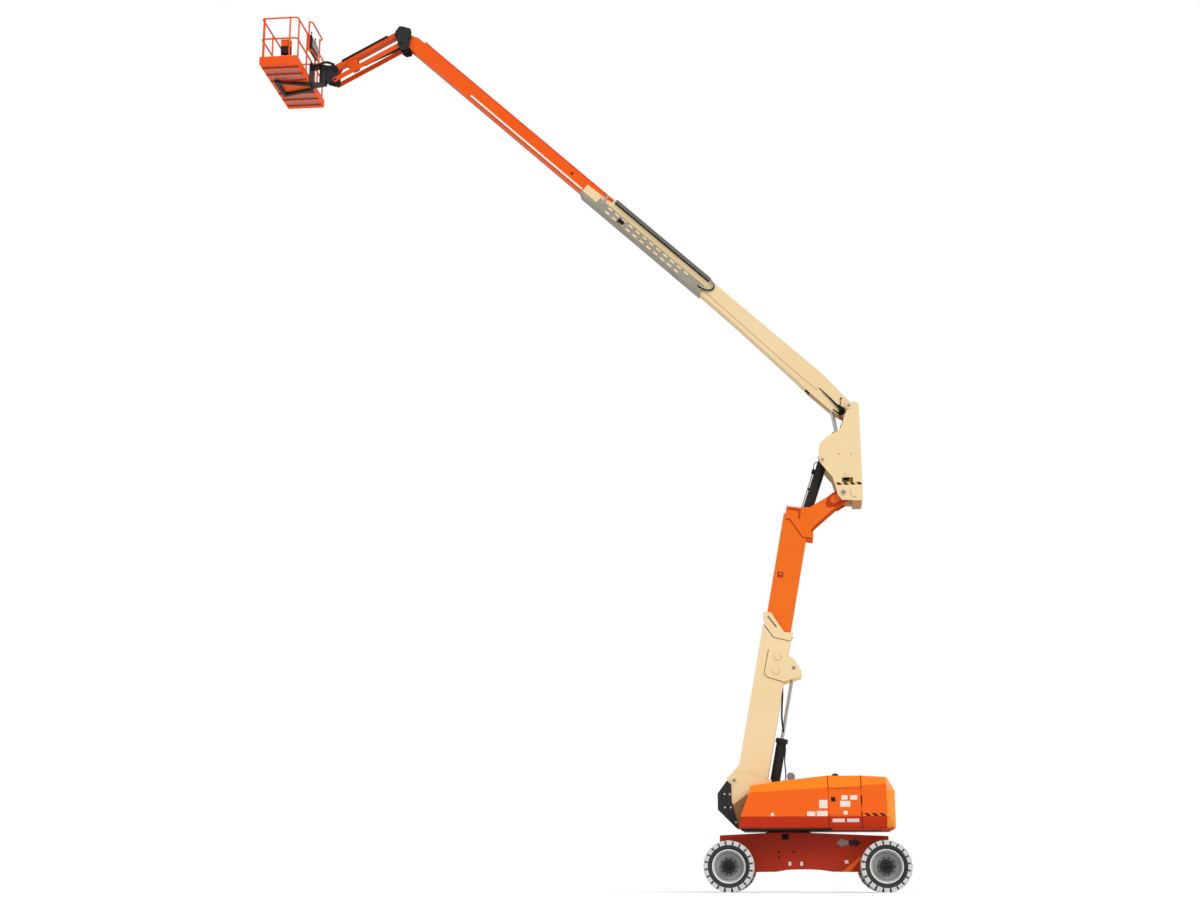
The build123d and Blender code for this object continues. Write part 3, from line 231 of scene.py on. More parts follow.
for wheel in WHEELS:
    rubber = finish(f"tyre_rubber_{wheel}", WALL_DARK, 0.85)
    pale_lugs(rubber, wheel_centre(wheel))
    dress(rubber, f"tyre_{wheel}")


# Rims: pressed steel, a bright dished ring round a grey disc and a black hub.
# A ring of nuts on studs holds each rim, and a cap closes the hub.
RIM_BANDS = [
    (0.130, "#2A2A2A"), (0.139, "#80807E"), (0.238, "#9A9A98"), (0.252, "#70706E"), (0.290, "#BDBDBB"),
    (0.315, "#F4F4F2"),
]
NUT_RING = 0.165
NUT_RADIUS = 0.018
NUT_HEIGHT = 0.026
NUTS = 10
DISC_OUT = 0.035
HUB_OUT = 0.170
CAP_RADIUS = 0.062
CAP_HEIGHT = 0.018


def add_rod(form, start, end, radius, sides=16, end_radius=None):
    """A round bar, or a cone where end_radius differs, from one point to another."""
    start = Vector(start)
    run = Vector(end) - start
    turn = run.to_track_quat("Z", "Y").to_matrix().to_4x4()
    place = Matrix.Translation(start + run / 2) @ turn
    bmesh.ops.create_cone(
        form, cap_ends=True, segments=sides, radius1=radius,
        radius2=radius if end_radius is None else end_radius, depth=run.length, matrix=place,
    )


def add_block(form, low, high, place=Matrix.Identity(4), round_edges=0.0):
    """A box between two corners, its edges rounded if asked."""
    low = Vector(low)
    high = Vector(high)
    scale = Matrix.Diagonal((*(high - low), 1))
    made = bmesh.ops.create_cube(form, size=1, matrix=Matrix.Translation((low + high) / 2) @ scale)
    corners = made["verts"]
    if round_edges:
        edges = list({edge for corner in corners for edge in corner.link_edges})
        rounded = bmesh.ops.bevel(
            form, geom=edges, offset=round_edges, affect="EDGES", segments=3, profile=0.5, material=-1,
            clamp_overlap=True,
        )
        corners = list({corner for face in rounded["faces"] for corner in face.verts})
    bmesh.ops.transform(form, matrix=place, verts=corners)


def make_piece(name, form, material, body, smooth=True):
    """Close a form into a piece that rides on a body of the machine."""
    bmesh.ops.recalc_face_normals(form, faces=form.faces)
    mesh = bpy.data.meshes.new(name)
    form.to_mesh(mesh)
    form.free()
    mesh.materials.append(material)
    if smooth:
        mesh.shade_smooth()
        mesh.set_sharp_from_angle(angle=math.radians(35))
    piece = bpy.data.objects.new(name, mesh)
    scene.collection.objects.link(piece)
    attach(piece, body)
    return piece


nut_steel = finish("nut_steel", "#4C4C4A", 0.45)
hub_black = finish("hub_black", "#1E1E1E", 0.5)
for wheel in WHEELS:
    centre = wheel_centre(wheel)
    outward = 1 if centre[1] > 0 else -1
    steel = finish(f"rim_paint_{wheel}", "#8F8F8F", 0.42)
    banded(steel, centre, (1, 0, 1), RIM_BANDS)
    dress(steel, f"rim_{wheel}")
    nuts = bmesh.new()
    for count in range(NUTS):
        angle = 2 * math.pi * count / NUTS
        x = centre[0] + NUT_RING * math.cos(angle)
        z = centre[2] + NUT_RING * math.sin(angle)
        face = centre[1] + outward * DISC_OUT
        add_rod(nuts, (x, face, z), (x, face + outward * NUT_HEIGHT, z), NUT_RADIUS, 6)
    make_piece(f"wheel_nuts_{wheel}", nuts, nut_steel, f"wheel_{wheel}", smooth=False)
    cap = bmesh.new()
    cap_face = centre[1] + outward * HUB_OUT
    cap_end = cap_face + outward * CAP_HEIGHT
    add_rod(cap, (centre[0], cap_face, centre[2]), (centre[0], cap_end, centre[2]), CAP_RADIUS, 32,
            CAP_RADIUS * 0.8)
    make_piece(f"hub_cap_{wheel}", cap, hub_black, f"wheel_{wheel}")


# Axles and knuckles: forgings and weldments in satin black, seen between the wheels and from below.
# The slew ring has the same paint; it is bolted on the chassis and carries the turntable.
axle_black = mottle(finish("axle_black", "#2B2B2B", 0.55), "#262626", "#343434")
dress(axle_black, "rear_axle", "front_axle", "knuckle_left", "knuckle_right", "slew_ring")


# Chassis: a welded box of heavy plate in a red deepened to dark red by painted shade from the deck above,
# with a square hand opening and bolt holes in its side, small blank plates and a pair of travel arrows.
CHASSIS_SIDE = -0.500
ARROW_MIDDLE = (1.186, 0.956)
ARROW_LENGTH = 0.245
ARROW_HALF = 0.093
ARROW_SHAFT = 0.048
SHEET = 0.003

# Painted shade: the chassis red is painted darker for the shade under the deck.
chassis_red = mottle(finish("chassis_red", "#B4311A", 0.5), "#AB2C16", "#BE381E", size=0.8)
dress(chassis_red, "chassis_frame")


def add_outline(form, points, y_from, y_to):
    """A flat plate with a side-view outline of (x, z) points."""
    ring = [form.verts.new((x, y_from, z)) for x, z in points]
    face = form.faces.new(ring)
    grown = bmesh.ops.extrude_face_region(form, geom=[face])
    moved = [item for item in grown["geom"] if isinstance(item, bmesh.types.BMVert)]
    bmesh.ops.translate(form, verts=moved, vec=(0, y_to - y_from, 0))


# Painted shade: the hand opening and bolt holes are black plates on the side, for the dark inside them.
hole_black = finish("hole_black", "#141414", 0.7)
side_holes = bmesh.new()
add_block(side_holes, (-0.128, CHASSIS_SIDE - SHEET, 1.015), (0.006, CHASSIS_SIDE, 1.128),
          round_edges=0.001)
for hole_x, hole_z in ((-0.192, 0.778), (-0.192, 0.671), (0.104, 0.778)):
    add_rod(side_holes, (hole_x, CHASSIS_SIDE - SHEET, hole_z), (hole_x, CHASSIS_SIDE, hole_z), 0.022, 20)
make_piece("chassis_side_holes", side_holes, hole_black, "chassis")

blank_white = finish("blank_plate", "#E4E2DC", 0.4)
chassis_plates = bmesh.new()
for plate_x, plate_z, half_x, half_z in ((0.020, 0.553, 0.026, 0.038), (0.250, 0.553, 0.026, 0.038),
                                         (1.134, 0.587, 0.036, 0.032)):
    add_block(chassis_plates, (plate_x - half_x, CHASSIS_SIDE - SHEET, plate_z - half_z),
              (plate_x + half_x, CHASSIS_SIDE, plate_z + half_z))
make_piece("chassis_blank_plates", chassis_plates, blank_white, "chassis", smooth=False)

for arrow_name, way, arrow_colour in (("grey", -1, "#9C9490"), ("black", 1, "#2A262C")):
    arrow = bmesh.new()
    middle_x, middle_z = ARROW_MIDDLE
    neck = ARROW_LENGTH * 0.48
    outline = [(0, ARROW_SHAFT), (neck, ARROW_SHAFT), (neck, ARROW_HALF), (ARROW_LENGTH, 0)]
    outline += [(x, -z) for x, z in reversed(outline[:-1])]
    placed = [(middle_x + way * x, middle_z + z) for x, z in outline]
    add_outline(arrow, placed, CHASSIS_SIDE - SHEET, CHASSIS_SIDE)
    arrow_film = finish(f"arrow_{arrow_name}", arrow_colour, 0.4)
    make_piece(f"travel_arrow_{arrow_name}", arrow, arrow_film, "chassis", smooth=False)

STEP_BRACKET = [(1.040, 0.398), (1.400, 0.690), (1.425, 0.690), (1.425, 0.640), (1.200, 0.398)]
bracket = bmesh.new()
add_outline(bracket, STEP_BRACKET, CHASSIS_SIDE - 0.02, CHASSIS_SIDE)
bracket_orange = finish("bracket_orange", "#FA6A1E", 0.4)
make_piece("step_bracket", bracket, bracket_orange, "chassis", smooth=False)


# Front guard: black plate steel. The guard's side plates are bolted on,
# with bright round heads.
GUARD_SIDE = 0.370
BOLT_RADIUS = 0.020
BOLT_HEAD = 0.012
GUARD_BOLTS = [(-1.259, 1.916), (-1.150, 1.915), (-1.254, 1.656), (-1.137, 1.655), (-1.035, 1.363)]

plate_black = mottle(finish("plate_black", "#2B2C2C", 0.45), "#282929", "#323333")
dress(plate_black, "front_guard")
bolt_steel = finish("bolt_steel", "#E2E2DE", 0.35, 0.2)


def add_pin_pair(form, x, z, inner, outer, radius, sides, end_radius=None):
    """A short round bar along Y on each side of the machine."""
    for sign in (-1, 1):
        add_rod(form, (x, sign * inner, z), (x, sign * outer, z), radius, sides, end_radius)


guard_heads = bmesh.new()
for bolt_x, bolt_z in GUARD_BOLTS:
    add_pin_pair(guard_heads, bolt_x, bolt_z, GUARD_SIDE, GUARD_SIDE + BOLT_HEAD, BOLT_RADIUS, 16,
                 BOLT_RADIUS * 0.7)
make_piece("guard_bolts", guard_heads, bolt_steel, "turntable")


# Hoods and service doors: folded sheet in gloss orange. Below the waist, where it tucks in and faces down,
# it is painted a deeper orange-red as painted shade, and above a sloping shoulder line it is painted
# lighter as a painted highlight.
# The cast tail is painted lighter still, and paler on top, as painted light where the light falls. Dark
# seams part the panels. The deck under them is black, partly painted shade under the hoods, and its edge
# takes the hoods' deeper shade colour towards the tail.
HOOD_SIDE = 1.170
HOOD_WAIST = 1.448
SEAM_WIDTH = 0.016
SEAM_XS = (0.803, 1.446)
DOOR_LOW = 1.469
DOOR_HIGH = 1.981
DECK_MIDDLE = 1.200
DECK_TOP = 1.2185
TAIL_FROM = 0.860
TAIL_STEEP = 20


def by_height(material, lowest, colours):
    """Change a finish's colour at heights; colours are (level, rise along X, colour above it)."""
    tree = material.node_tree
    place = add_node(tree, "TexCoord").outputs["Object"]
    below = (*linear(lowest), 1)
    for level, rise, colour in colours:
        height = add_node(tree, "VectorMath", {0: place, 1: (-rise, 0, 1)}, "DOT_PRODUCT")
        step = add_node(tree, "MapRange", {
            "Value": height.outputs["Value"], "From Min": level - 0.003, "From Max": level + 0.003,
        })
        mix = add_node(tree, "Mix")
        mix.data_type = "RGBA"
        set_inputs(mix, {"Factor": step.outputs["Result"], "A": below, "B": (*linear(colour), 1)})
        below = mix.outputs["Result"]
    set_inputs(tree.nodes["Principled BSDF"], {"Base Color": below})
    return material


# Painted light: deeper orange-red below the waist is painted shade; lighter orange above the shoulder line
# is a painted highlight.
hood_orange = by_height(finish("hood_orange", "#F26A1E", 0.32), "#C8330F", [
    (HOOD_WAIST, 0, "#F2651A"), (1.953, 0.058, "#FB8319"),
])
# Painted light: the tail is painted lighter than the hoods, and paler above its top edge, for the light
# falling on it.
tail_orange = by_height(finish("tail_orange", "#F8983C", 0.35), "#F89234", [(1.958, 0, "#F8BC84")])
# Painted shade: the deck's black edge is partly the shade under the hoods; towards the tail it takes the
# hoods' painted-shade orange-red.
deck_black = by_height(finish("deck_black", "#262626", 0.5), "#262626", [
    (TAIL_FROM * TAIL_STEEP + DECK_MIDDLE, -TAIL_STEEP, "#C83A10"), (DECK_TOP, 0, "#262626"),
])
dress(deck_black, "turntable_deck")
dress(hood_orange, "hood_left", "hood_right", "door_left", "door_right")
dress(tail_orange, "counterweight")


def hood_section(x):
    """(y, z) points up one hood's outside at a place along it, from the deck to the top."""
    shoulder = 1.895 + 0.058 * (x + 1.0)
    top = 2.2445
    return [(1.060, 1.224), (HOOD_SIDE, HOOD_WAIST), (HOOD_SIDE, shoulder),
            (HOOD_SIDE - (top - shoulder) * 1.15, top), (0.42, top)]


def add_strip(form, start, end, half_width, lift):
    """A thin strip on the hood from one point to another, standing off by lift; its width runs along X."""
    run = Vector(end) - Vector(start)
    across = Vector((1, 0, 0))
    out = run.cross(across).normalized()
    corners = []
    for point in (Vector(start), Vector(end)):
        for side in (-half_width, half_width):
            for off in (-lift, lift):
                corners.append(form.verts.new(point + across * side + out * off))
    bmesh.ops.convex_hull(form, input=corners)


hood_seams = bmesh.new()
for sign in (1, -1):
    for seam_x in SEAM_XS:
        section = [(sign * y, z) for y, z in hood_section(seam_x)]
        door_low = (sign * HOOD_SIDE, DOOR_LOW)
        door_high = (sign * HOOD_SIDE, DOOR_HIGH)
        runs = [(section[0], section[1]), (section[1], door_low), (door_high, section[2]),
                (section[2], section[3]), (section[3], section[4])]
        for (y0, z0), (y1, z1) in runs:
            add_strip(hood_seams, (seam_x, y0, z0), (seam_x, y1, z1), SEAM_WIDTH / 2, 0.002)
seam_dark = finish("seam_dark", "#5A1E0C", 0.6)
make_piece("hood_seams", hood_seams, seam_dark, "turntable", smooth=False)

# Hood fittings: a black push latch on each door, blank label plates on the right side,
# a black filler dome and a grey horn disc on a stalk.
LABEL_LIFT = 0.002
LATCH_DEPTH = 0.014
HOOD_LABELS = [
    # x, z, half length, half height
    (0.700, 1.683, 0.080, 0.080), (0.460, 1.496, 0.080, 0.044), (0.674, 1.501, 0.105, 0.050),
    (-0.294, 1.485, 0.030, 0.030),
]
DOOR_LABELS = [
    (1.292, 1.807, 0.070, 0.042), (1.114, 1.808, 0.060, 0.042), (1.125, 1.684, 0.098, 0.058),
    (1.128, 1.514, 0.040, 0.036),
]
label_white = mottle(finish("label_white", "#E9DFD2", 0.4), "#E4D5C4", "#F0EAE2", size=30)
LABEL_SETS = [("hood_labels", HOOD_LABELS, "turntable"), ("door_labels", DOOR_LABELS, "door_right")]
for label_name, labels, body in LABEL_SETS:
    plates = bmesh.new()
    for x, z, half_x, half_z in labels:
        add_block(plates, (x - half_x, -HOOD_SIDE - LABEL_LIFT, z - half_z),
                  (x + half_x, -HOOD_SIDE, z + half_z))
    make_piece(label_name, plates, label_white, body, smooth=False)

skirt_lean = math.atan2(0.110, 0.226)
skirt_labels = bmesh.new()
for x in (0.991, 1.270):
    lean = Matrix.Translation((x, -1.1325, 1.370)) @ Matrix.Rotation(skirt_lean, 4, "X")
    add_block(skirt_labels, (-0.118, -LABEL_LIFT - 0.001, -0.036), (0.118, 0.002, 0.036), lean)
make_piece("skirt_labels", skirt_labels, label_white, "turntable", smooth=False)

latch_black = finish("latch_black", "#1C1C1C", 0.4)
for side, sign in (("left", 1), ("right", -1)):
    latch = bmesh.new()
    faces = sorted((sign * HOOD_SIDE, sign * (HOOD_SIDE + LATCH_DEPTH)))
    add_block(latch, (0.856, faces[0], 1.734), (0.936, faces[1], 1.814), round_edges=0.005)
    make_piece(f"door_latch_{side}", latch, latch_black, f"door_{side}")

dome = bmesh.new()
dome_place = Matrix.Translation((0.955, -0.70, 2.243)) @ Matrix.Diagonal((1, 1, 0.75, 1))
bmesh.ops.create_uvsphere(dome, u_segments=24, v_segments=12, radius=0.075, matrix=dome_place)
make_piece("hood_dome", dome, latch_black, "turntable")

disc = bmesh.new()
add_rod(disc, (0.087, -0.600, 2.16), (0.087, -0.600, 2.245), 0.015, 12)
add_rod(disc, (0.074, -0.600, 2.245), (0.100, -0.640, 2.245), 0.083, 32, 0.076)
disc_grey = finish("disc_grey", "#8C8E90", 0.3, 0.6)
make_piece("horn_disc", disc, disc_grey, "turntable")

# Hazard stripe: slanting black bars of film on the orange sheet, along the hood's tail at the waist.
# They are stuck on both sides.
HAZARD_FROM = 1.486
HAZARD_TO = 1.925
HAZARD_PITCH = 0.145
HAZARD_LOW = 1.450
HAZARD_HIGH = 1.506
HAZARD_BAR = [(0, HAZARD_HIGH), (0.5, HAZARD_HIGH), (0.95, HAZARD_LOW), (0.45, HAZARD_LOW)]
hazard_film = finish("hazard_black", "#20201E", 0.4)


def add_plate_pair(form, points, inner, outer):
    """The same flat plate on each side of the machine."""
    for sign in (-1, 1):
        add_outline(form, points, sign * inner, sign * outer)


hazard = bmesh.new()
start_x = HAZARD_FROM
while start_x + HAZARD_PITCH <= HAZARD_TO:
    bar = [(start_x + HAZARD_PITCH * share, z) for share, z in HAZARD_BAR]
    add_plate_pair(hazard, bar, HOOD_SIDE, HOOD_SIDE + SHEET)
    start_x += HAZARD_PITCH
make_piece("hood_hazard_bars", hazard, hazard_film, "turntable", smooth=False)


# Engine and battery masses: plain blocks that stand on the deck, out of sight under the hoods.
# They have only a grey and a black paint.
dress(finish("engine_grey", "#6E7072", 0.5, 0.6), "engine_block")
dress(finish("battery_black", "#1E1E1E", 0.6), "battery_pack")


# Tower support and tower base: heavy cream plate and a box tube. A slotted strap crosses the mouth,
# and keeper plates hold the pivot pins from outside.
cream = mottle(finish("cream_paint", "#EFD4A4", 0.45), "#EBCE9C", "#F2D9AC", size=0.7, amount=0.7)
dress(cream, "tower_support", "tower_base", "main_boom_base")
JOINTS = {row["name"]: row for row in frame["record"]["behaviour"]["joints"]}


def side_frame(pivot, along, up_sign):
    """A boom's own frame: X along it, Y across the machine, Z square to it and upwards."""
    along = Vector(along)
    lift = Vector((along.z, 0, -along.x)) * up_sign
    return Matrix.Translation(pivot) @ Matrix((along, (0, 1, 0), lift)).transposed().to_4x4()


tower_place = side_frame(JOINTS["tower_lift"]["pos_m"], JOINTS["tower_tele"]["axis"], -1)
TOWER_SIDE = 0.300
TUBE_SIDE = 0.285
STRAP_SLOT = [(3.410, -0.115), (3.215, -0.330)]
# Paths of painted shadow lines: under the collar's lower edge, along the lug plate's edges and round the
# bosses.
COLLAR_EDGE = [(3.226, -0.066), (2.998, -0.306), (2.981, -0.643)]
LUG_EDGE = [(2.739, -0.244), (2.237, -0.236), (2.175, -0.313), (2.132, -0.655)]
BOSS_SIDE = 0.305
BOSSES = [(2.614, -0.455), (2.327, -0.467)]
BOSS_R = 0.068
SUPPORT_SIDE = 0.355
SUPPORT_RECESS = [(-1.110, 1.700), (-0.800, 1.920), (-0.700, 1.600), (-0.900, 1.230), (-0.975, 1.245)]
# Dark tan for slots, small bolts and a groove, and for painted shadow lines.
strap_dark = finish("strap_dark", "#8A7350", 0.6)
recess_brown = finish("recess_brown", "#9A7A50", 0.6)


def add_slot(form, start, end, half_width, y_from, y_to, place):
    """A dark slot between two (along, up) places in a side frame."""
    start = Vector((start[0], 0, start[1]))
    run = Vector((end[0], 0, end[1])) - start
    turn = Matrix.Rotation(-math.atan2(run.z, run.x), 4, "Y")
    place = place @ Matrix.Translation(start) @ turn
    add_block(form, (0, y_from, -half_width), (run.length, y_to, half_width), place)


def add_slots(form, path, half_width, face, depth, place=Matrix.Identity(4)):
    """Slots end to end along a path, on each side of the machine."""
    for y_from, y_to in ((-face - depth, -face), (face, face + depth)):
        for start, end in zip(path, path[1:]):
            add_slot(form, start, end, half_width, y_from, y_to, place)


# Painted shadow: thin dark tan lines under the collar, along the lug plate and round the bosses, for the
# shadows their edges cast; the strap's slot is dark tan too.
tower_shadow_lines = bmesh.new()
add_slots(tower_shadow_lines, STRAP_SLOT, 0.016, TOWER_SIDE, SHEET, tower_place)
for path in (COLLAR_EDGE, LUG_EDGE):
    add_slots(tower_shadow_lines, path, 0.007, TUBE_SIDE, SHEET, tower_place)
for boss_u, boss_v in BOSSES:
    arc = [(boss_u + BOSS_R * math.cos(step), boss_v + BOSS_R * math.sin(step))
           for step in (math.radians(-170 + 20 * count) for count in range(9))]
    add_slots(tower_shadow_lines, arc, 0.005, BOSS_SIDE, SHEET / 2, tower_place)
make_piece("tower_edge_lines", tower_shadow_lines, strap_dark, "tower_base", smooth=False)

# Painted shade: a brown plate on the lower support between the guard and the hood, for the shade in that
# recess.
recess = bmesh.new()
add_plate_pair(recess, SUPPORT_RECESS, SUPPORT_SIDE, SUPPORT_SIDE + SHEET)
make_piece("support_recess", recess, recess_brown, "turntable", smooth=False)

pin_steel = finish("pin_steel", "#9C9C9A", 0.35, 0.7)
WASHER = 0.008
PIN_CAPS = [
    # joint whose pin it closes, body, washer radius, bolt radius, outer face
    ("tower_lift", "tower_base", 0.070, 0.036, 0.360),
    ("upright_level", "tower_fly", 0.070, 0.048, 0.355),
    ("level_barrel_swing", "level_barrel", 0.058, 0.028, 0.355),
    ("main_lift", "main_base", 0.070, 0.032, 0.355),
    ("lift_barrel_swing", "lift_barrel", 0.052, 0.008, 0.355),
]
for joint, body, washer_radius, bolt_radius, face in PIN_CAPS:
    x, _, z = JOINTS[joint]["pos_m"]
    washers = bmesh.new()
    bolts = bmesh.new()
    bolt_seat = face + WASHER
    add_pin_pair(washers, x, z, face, bolt_seat, washer_radius, 28, washer_radius * 0.94)
    add_pin_pair(bolts, x, z, bolt_seat, bolt_seat + BOLT_HEAD, bolt_radius, 24, bolt_radius * 0.86)
    make_piece(f"{joint}_washers", washers, cream, body)
    make_piece(f"{joint}_bolts", bolts, pin_steel, body)

lug_pin = bmesh.new()
eye_place = tower_place @ Vector((2.452, 0, -0.810))
add_pin_pair(lug_pin, eye_place.x, eye_place.z, 0.305, 0.318, 0.034, 24)
make_piece("tower_lug_pin_caps", lug_pin, pin_steel, "tower_base")


# Tower fly: the orange tube that slides in the tower. Its knuckle has welded doublers, the pivot one deep
# orange; the deep orange line under the V doubler's lower edge and the deep orange lines of the knuckle's
# recess are painted shade, and a small bolted window is let into the side.
tower_orange = mottle(finish("tower_orange", "#EE6B18", 0.38), "#EC6614", "#F1741F", size=0.8)
dress(tower_orange, "tower_fly")
# Deep orange paint, also used for painted shade lines and for the painted shadow line under the main fly's
# stripe.
deep_orange = finish("deep_orange", "#B8360F", 0.5)
FLY_SIDE = 0.250
DOUBLER = 0.014


def add_outline_in(form, points, y_from, y_to, place=Matrix.Identity(4)):
    """A flat plate from (along, up) points of a side frame."""
    before = set(form.verts)
    add_outline(form, points, y_from, y_to)
    bmesh.ops.transform(form, matrix=place, verts=[v for v in form.verts if v not in before])


V_DOUBLER = [(0.112, 7.560), (0.190, 7.575), (0.440, 7.185), (0.650, 7.150), (0.640, 7.235), (0.485, 7.265),
             (0.250, 7.640), (0.118, 7.640)]
PIVOT_DOUBLER = [
    (1.190, 8.139), (1.076, 8.088), (0.997, 8.011), (0.945, 7.880), (0.985, 7.800), (1.194, 7.810),
    (1.380, 7.920), (1.290, 7.940), (1.200, 7.915), (1.110, 7.870), (1.040, 7.905), (1.036, 7.990),
    (1.100, 8.055), (1.190, 8.090),
]
TOP_RECESS = [(0.165, 7.800), (0.420, 7.760), (0.395, 7.560), (0.370, 7.560), (0.390, 7.735),
              (0.165, 7.772)]
# Painted shadow: the V doubler's lower edge line.
V_EDGE = [(0.112, 7.553), (0.186, 7.566), (0.436, 7.177), (0.650, 7.141)]
# The knuckle's recess lines are painted shade.
for doubler_name, outline, paint in (("v_doubler", V_DOUBLER, tower_orange),
                                     ("pivot_doubler", PIVOT_DOUBLER, deep_orange),
                                     ("knuckle_recess", TOP_RECESS, deep_orange)):
    doubler = bmesh.new()
    add_plate_pair(doubler, outline, FLY_SIDE, FLY_SIDE + DOUBLER)
    make_piece(f"fly_{doubler_name}", doubler, paint, "tower_fly", smooth=False)
v_edge = bmesh.new()
add_slots(v_edge, V_EDGE, 0.014, FLY_SIDE, SHEET)
make_piece("fly_v_edge", v_edge, deep_orange, "tower_fly", smooth=False)

fly_window = bmesh.new()
window_place = tower_place @ Matrix.Translation((4.300, 0, -0.228))
for sign in (-1, 1):
    faces = sorted((sign * FLY_SIDE, sign * (FLY_SIDE + 0.004)))
    add_block(fly_window, (-0.045, faces[0], -0.06), (0.075, faces[1], 0.06), window_place)
make_piece("fly_window", fly_window, deep_orange, "tower_fly", smooth=False)
window_bolt = bmesh.new()
bolt_middle = window_place @ Vector((0.03, 0, 0.0))
add_pin_pair(window_bolt, bolt_middle.x, bolt_middle.z, FLY_SIDE, FLY_SIDE + 0.016, 0.024, 20)
make_piece("fly_window_bolt", window_bolt, pin_steel, "tower_fly")


# Hydraulic cylinders: black barrels with bright chromed rods, screwed gland rings and steel pipes
# clipped along their sides.
barrel_black = mottle(finish("barrel_black", "#262321", 0.4), "#232120", "#2E2A27", size=3)
rod_chrome = finish("rod_chrome", "#C9C9C7", 0.22, 0.9)
CYLINDERS = ("tower", "level", "lift", "jib")
dress(barrel_black, *(f"{name}_cylinder_barrel" for name in CYLINDERS))
dress(rod_chrome, *(f"{name}_cylinder_rod" for name in CYLINDERS))

pipe_grey = finish("pipe_grey", "#B4B4B0", 0.35, 0.5)
# Black for hoses and fittings, also used for a painted shadow strip under the link track.
hose_black = finish("hose_black", "#1B1B1B", 0.55)
level_foot = Vector(JOINTS["level_barrel_swing"]["pos_m"])
level_run = Vector(JOINTS["level_rod_slide"]["axis"])
level_side = Vector((level_run.z, 0, -level_run.x))
PIPE_OFF = 0.130
level_pipe = bmesh.new()
pipe_ends = [level_foot + level_run * step + level_side * PIPE_OFF for step in (0.26, 1.10)]
add_rod(level_pipe, *pipe_ends, 0.014, 12)
make_piece("level_cylinder_pipe", level_pipe, pipe_grey, "level_barrel")
level_turn = level_run.to_track_quat("Z", "Y").to_matrix().to_4x4()
level_block = bmesh.new()
for step, size in ((0.235, 0.046), (0.62, 0.020), (1.06, 0.024)):
    middle = level_foot + level_run * step + level_side * 0.115
    bmesh.ops.create_cube(level_block, size=2 * size, matrix=Matrix.Translation(middle) @ level_turn)
make_piece("level_pipe_clips", level_block, hose_black, "level_barrel", smooth=False)


def make_hose(name, route, radius):
    """A bent hose through given points, as a mesh tube."""
    curve = bpy.data.curves.new(name, "CURVE")
    curve.dimensions = "3D"
    curve.bevel_depth = radius
    curve.bevel_resolution = 3
    curve.use_fill_caps = True
    line = curve.splines.new("NURBS")
    line.points.add(len(route) - 1)
    for point, place in zip(line.points, route):
        point.co = (*place, 1)
    line.order_u = 3
    line.use_endpoint_u = True
    line.resolution_u = 8
    holder = bpy.data.objects.new(name, curve)
    scene.collection.objects.link(holder)
    bpy.context.view_layer.update()
    mesh = bpy.data.meshes.new_from_object(holder.evaluated_get(bpy.context.evaluated_depsgraph_get()))
    bpy.data.objects.remove(holder)
    bpy.data.curves.remove(curve)
    mesh.name = name
    mesh.materials.clear()
    mesh.materials.append(hose_black)
    mesh.shade_smooth()
    hose = bpy.data.objects.new(name, mesh)
    scene.collection.objects.link(hose)
    return hose


def local_route(place, points):
    """A route in a boom's own frame, as places on the machine."""
    return [tuple(place @ Vector(point)) for point in points]


level_loop = make_hose("level_cylinder_hose", [
    tuple(level_foot + level_run * step + level_side * off)
    for step, off in ((0.20, 0.125), (0.12, 0.165), (0.03, 0.150), (-0.01, 0.095), (0.03, 0.060))
], 0.009)
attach(level_loop, "level_barrel")

tower_drop = make_hose("tower_cylinder_hose", [
    (-0.045, -0.100, 2.940), (0.000, -0.100, 2.880), (-0.046, -0.100, 2.600), (-0.018, -0.100, 2.387),
    (-0.023, -0.100, 2.195), (-0.080, -0.100, 1.980), (-0.210, -0.090, 1.820),
], 0.013)
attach(tower_drop, "tower_barrel")
tower_sag = make_hose("tower_underside_hose", local_route(tower_place, [
    (2.02, -0.160, -0.645), (1.90, -0.160, -0.672), (1.66, -0.160, -0.695), (1.40, -0.160, -0.735),
    (1.22, -0.160, -0.790), (1.14, -0.160, -0.815),
]), 0.020)
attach(tower_sag, "tower_base")


# Upright: two cream cheek plates that hang on the tower fly's pin and carry the main boom.
# A yellow and black hazard strip runs above the foot pivot, with small bolts and a groove near it.
UPRIGHT_SIDE = 0.350
STRIP_LOW = 8.244
STRIP_HIGH = 8.296
STRIP_FROM = 1.165
STRIP_TO = 1.705
STRIP = [(STRIP_FROM, STRIP_LOW), (STRIP_TO, STRIP_LOW), (STRIP_TO, STRIP_HIGH), (STRIP_FROM, STRIP_HIGH)]
STRIP_BARS = 4
STRIP_PITCH = 0.140
STRIP_BAR = [(0.002, STRIP_HIGH), (0.076, STRIP_HIGH), (0.122, STRIP_LOW), (0.048, STRIP_LOW)]
UPRIGHT_BOLTS = [(1.255, 8.909), (1.495, 8.902)]
UPRIGHT_GROOVE = [(1.460, 8.150), (1.465, 8.040), (1.495, 7.995), (1.580, 7.970)]
